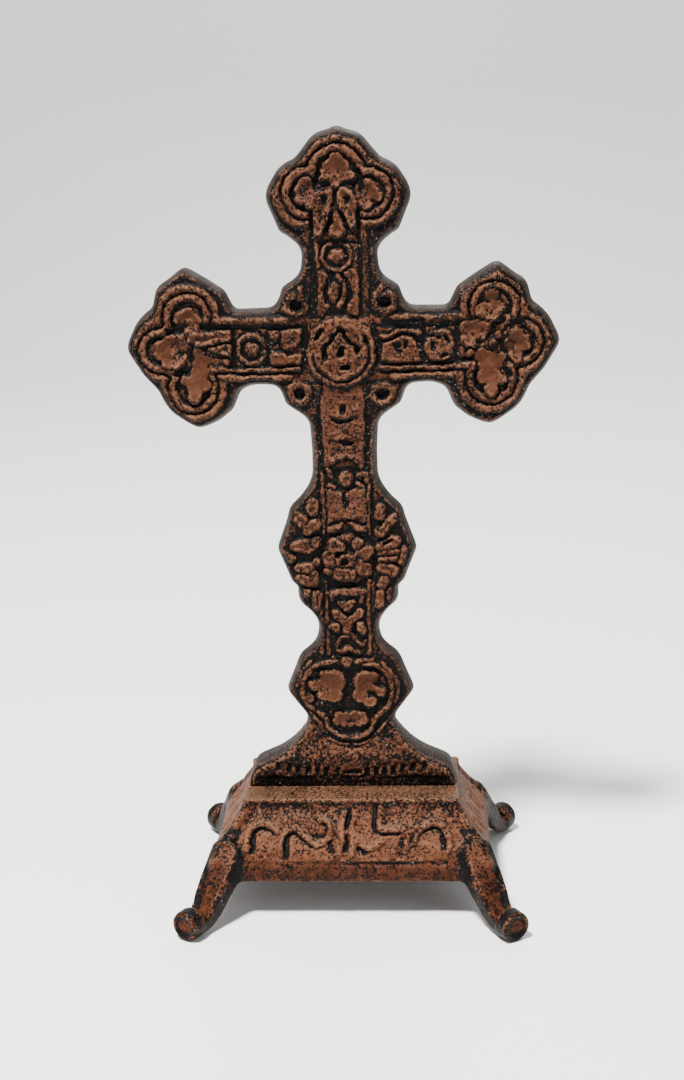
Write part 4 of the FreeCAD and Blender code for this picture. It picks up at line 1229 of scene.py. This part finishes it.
class Tree:
    """Small helper that wires shader nodes, all in object space."""

    def __init__(self, name):
        self.material = bpy.data.materials.new(name)
        self.material.use_nodes = True
        self.nodes = self.material.node_tree.nodes
        self.links = self.material.node_tree.links
        self.shader = self.nodes["Principled BSDF"]
        self.place = self.nodes.new("ShaderNodeTexCoord").outputs["Object"]

    def put(self, socket, value):
        if isinstance(value, (int, float)):
            socket.default_value = value
        elif isinstance(value, tuple):
            socket.default_value = value + (1,)
        else:
            self.links.new(value, socket)

    def noise(self, scale, detail=3.0, rough=0.55, distortion=0.0):
        node = self.nodes.new("ShaderNodeTexNoise")
        node.inputs["Scale"].default_value = scale
        node.inputs["Detail"].default_value = detail
        node.inputs["Roughness"].default_value = rough
        node.inputs["Distortion"].default_value = distortion
        self.links.new(self.place, node.inputs["Vector"])
        return node.outputs["Fac"]

    def ramp(self, source, low, high, to_low=0.0, to_high=1.0):
        node = self.nodes.new("ShaderNodeMapRange")
        node.interpolation_type = "SMOOTHSTEP"
        for label, value in (("From Min", low), ("From Max", high), ("To Min", to_low), ("To Max", to_high)):
            node.inputs[label].default_value = value
        self.links.new(source, node.inputs["Value"])
        return node.outputs["Result"]

    def combine(self, operation, a, b):
        node = self.nodes.new("ShaderNodeMath")
        node.operation = operation
        self.put(node.inputs[0], a)
        self.put(node.inputs[1], b)
        return node.outputs[0]

    def times(self, a, b):
        return self.combine("MULTIPLY", a, b)

    def plus(self, a, b):
        return self.combine("ADD", a, b)

    def mix(self, factor, a, b):
        node = self.nodes.new("ShaderNodeMix")
        node.data_type = "RGBA"
        self.put(node.inputs["Factor"], factor)
        self.put(node.inputs[6], a)
        self.put(node.inputs[7], b)
        return node.outputs[2]

    def attribute(self, label):
        node = self.nodes.new("ShaderNodeAttribute")
        node.attribute_name = label
        return node.outputs["Fac"]

    def split(self, vector, axis):
        node = self.nodes.new("ShaderNodeSeparateXYZ")
        self.links.new(vector, node.inputs[0])
        return node.outputs[axis]

    def up(self):
        """How far the surface faces up, from -1 to 1."""
        return self.split(self.nodes.new("ShaderNodeNewGeometry").outputs["Normal"], 2)

    def bump(self, height, distance, strength):
        node = self.nodes.new("ShaderNodeBump")
        node.inputs["Strength"].default_value = strength
        node.inputs["Distance"].default_value = distance
        self.links.new(height, node.inputs["Height"])
        self.links.new(node.outputs["Normal"], self.shader.inputs["Normal"])


PAINT_DARK = (0.058, 0.0176, 0.0077)
PAINT_LIGHT = (0.104, 0.0350, 0.0155)
PAINT_PALE = (0.142, 0.056, 0.029)
# Painted shade for faces turned down, and a painted highlight for faces turned up.
PAINT_SHADE_BELOW = (0.040, 0.0125, 0.0055)
PAINT_HIGHLIGHT_ABOVE = (0.190, 0.080, 0.042)
PAINT_CLEAN = (0.056, 0.0180, 0.0076)
PAINT_GRAIN = (0.200, 0.090, 0.054)
# Worn paint and a painted highlight on the convex edges.
PAINT_WORN_AND_HIGHLIGHT = (0.205, 0.100, 0.058)
DUST = (0.074, 0.042, 0.024)
LEG_DARK, LEG_LIGHT = (0.036, 0.0096, 0.0038), (0.070, 0.0205, 0.0084)
FLANK_DARK, FLANK_LIGHT = (0.018, 0.0125, 0.010), (0.050, 0.032, 0.024)
BLACK = (0.0016, 0.0015, 0.0014)
GLINT = (0.26, 0.235, 0.22)


def toned(colour, tone):
    return tuple(part * tone for part in colour)


def on_clean(t, ink, low, high):
    """From low to high as the ink mark falls below zero, which marks the leaves worn clean."""
    return t.ramp(ink, -0.05, -0.45, low, high)


def brown_paint(t, ink, tone, has_flank):
    """Mottled rust-brown with painted shade where it faces down and a painted highlight where it faces up,
    dusty on top, with a pale grain.
    """
    lean = 0.0 if has_flank else 0.40
    brown = t.mix(t.ramp(t.noise(120, 4), 0.35, 0.65), toned(PAINT_DARK, tone), toned(PAINT_LIGHT, tone))
    brown = t.mix(t.ramp(t.noise(420, 3), 0.46, 0.72), brown, toned(PAINT_PALE, tone))
    # Painted shade where the surface faces down, then a painted highlight where it faces up.
    brown = t.mix(t.ramp(t.up(), 0.10 + 0.5 * lean, -0.40), brown, toned(PAINT_SHADE_BELOW, tone))
    brown = t.mix(t.ramp(t.up(), lean + 0.02, lean + 0.40, 0.0, 0.65), brown, toned(PAINT_HIGHLIGHT_ABOVE, tone))
    brown = t.mix(on_clean(t, ink, 0.0, 0.72), brown, toned(PAINT_CLEAN, tone))
    grain = t.ramp(t.noise(1000, 3, 0.70), 0.54, 0.64, 0.0, 0.55 if has_flank else 0.40)
    grain = t.times(grain, on_clean(t, ink, 1.0, 0.30))
    brown = t.mix(grain, brown, toned(PAINT_GRAIN, tone))
    dusty = t.times(t.ramp(t.up(), 0.50, 0.90), t.ramp(t.noise(420, 4, 0.7), 0.36, 0.60, 0.15, 0.9))
    return t.mix(dusty, brown, DUST)


def leg_colour(t, brown):
    """Deeper brown on the legs, low on the stand."""
    deeper = t.mix(t.ramp(t.noise(260, 3), 0.35, 0.65), LEG_DARK, LEG_LIGHT)
    return t.mix(t.ramp(t.split(t.place, 2), 0.015, 0.026), deeper, brown)


def flank_colour(t, brown):
    """Duller, darker colour on the drafted sides of the cross."""
    flank = t.mix(t.ramp(t.noise(300, 3), 0.4, 0.7), FLANK_DARK, FLANK_LIGHT)
    return t.mix(t.ramp(t.attribute("face"), 0.80, 1.0), flank, brown)


def black_cover(t, hollow, ink, speckle, ink_at):
    """Where black shows: in the recesses and marked places, as fine speckle, and on the sharpest edges."""
    jitter = t.times(t.combine("SUBTRACT", t.noise(950, 4, 0.70), 0.5), 2.9)
    sunk = t.combine("MINIMUM", t.times(hollow, 1.3), 0.32)
    inked = t.ramp(t.plus(t.plus(sunk, ink), jitter), ink_at, ink_at + 0.12)
    patch = t.ramp(t.noise(75, 3, 0.6), 0.35, 0.70, 0.0, 0.05)
    fine = t.plus(t.plus(t.noise(1150, 3, 0.70), patch), t.times(ink, 0.08))
    speck = t.ramp(t.plus(fine, on_clean(t, ink, 0.0, -0.05)), speckle, speckle + 0.03)
    bare = t.ramp(t.plus(t.times(hollow, -1.0), jitter), 0.85, 0.95)
    return t.combine("MAXIMUM", t.combine("MAXIMUM", inked, speck), bare)


def painted_iron(name, tone, speckle, has_flank, ink_at):
    """Matt rust-brown paint over black: black stays in the recesses, at edges and as fine speckle."""
    t = Tree(name)
    hollow, ink = t.attribute("hollow"), t.attribute("ink")
    brown = brown_paint(t, ink, tone, has_flank)
    brown = flank_colour(t, brown) if has_flank else leg_colour(t, brown)
    # Paler convex edges: partly worn paint, partly a painted highlight.
    worn = t.times(t.ramp(hollow, -0.16, -0.46), t.ramp(t.noise(620, 3), 0.40, 0.60))
    paint = t.mix(t.times(worn, 0.40), brown, PAINT_WORN_AND_HIGHLIGHT)
    black = black_cover(t, hollow, ink, speckle, ink_at)
    glint = t.times(t.ramp(t.noise(1300, 3, 0.7), 0.63, 0.68), t.ramp(black, 0.2, 0.8, 0.10, 1.0))
    glint = t.times(glint, t.ramp(t.noise(110, 2), 0.48, 0.62, 0.12, 1.0))
    t.put(t.shader.inputs["Base Color"], t.mix(glint, t.mix(black, paint, BLACK), GLINT))
    t.put(t.shader.inputs["Roughness"], t.ramp(black, 0, 1, 0.55, 0.40))
    t.put(t.shader.inputs["Specular IOR Level"], 0.07)
    rough = t.times(t.noise(800, 5, 0.72), on_clean(t, ink, 1.0, 0.55))
    t.bump(t.plus(rough, t.times(black, -0.45)), 0.0005, 0.85)
    return t.material


def plated_steel(name, pale, dull, roughness):
    """Plated fastener: cloudy grey metal with fine scratches and dull, dirty patches."""
    t = Tree(name)
    cloud = t.ramp(t.noise(260, 4), 0.35, 0.65)
    dirt = t.ramp(t.noise(900, 5, 0.7), 0.56, 0.66)
    rough = t.plus(t.ramp(cloud, 0, 1, 0.12, 0.0), t.ramp(dirt, 0, 1, roughness, 0.6))
    colour = t.mix(cloud, dull, pale)
    t.put(t.shader.inputs["Base Color"], t.mix(dirt, colour, toned(dull, 0.35)))
    t.put(t.shader.inputs["Roughness"], rough)
    t.put(t.shader.inputs["Metallic"], 1.0)
    t.bump(t.noise(2600, 3, 0.7, 1.5), 0.0001, 0.25)
    return t.material


def finish_fasteners():
    """Materials for the CAD screws and washers, which keep their own shape."""
    zinc = plated_steel("zinc_plate", (0.58, 0.57, 0.53), (0.40, 0.39, 0.36), 0.28)
    spring = plated_steel("spring_steel", (0.20, 0.19, 0.18), (0.10, 0.095, 0.09), 0.38)
    for side in ("left", "right"):
        for node, material in (("screw_", zinc), ("plain_washer_", zinc), ("lock_washer_", spring)):
            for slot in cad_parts[node + side].material_slots:
                slot.material = material


# ---------------------------------------------------------------- assembly

add_camera()
add_light()
add_floor()

cross = build_cross()
cross.data.materials.append(painted_iron("cross_paint", 0.66, 0.568, True, 0.37))
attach(cross, "root")
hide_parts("cross")

stand = build_stand()
stand.data.materials.append(painted_iron("stand_paint", 0.88, 0.580, False, 0.45))
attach(stand, "root")
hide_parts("stand")

finish_fasteners()
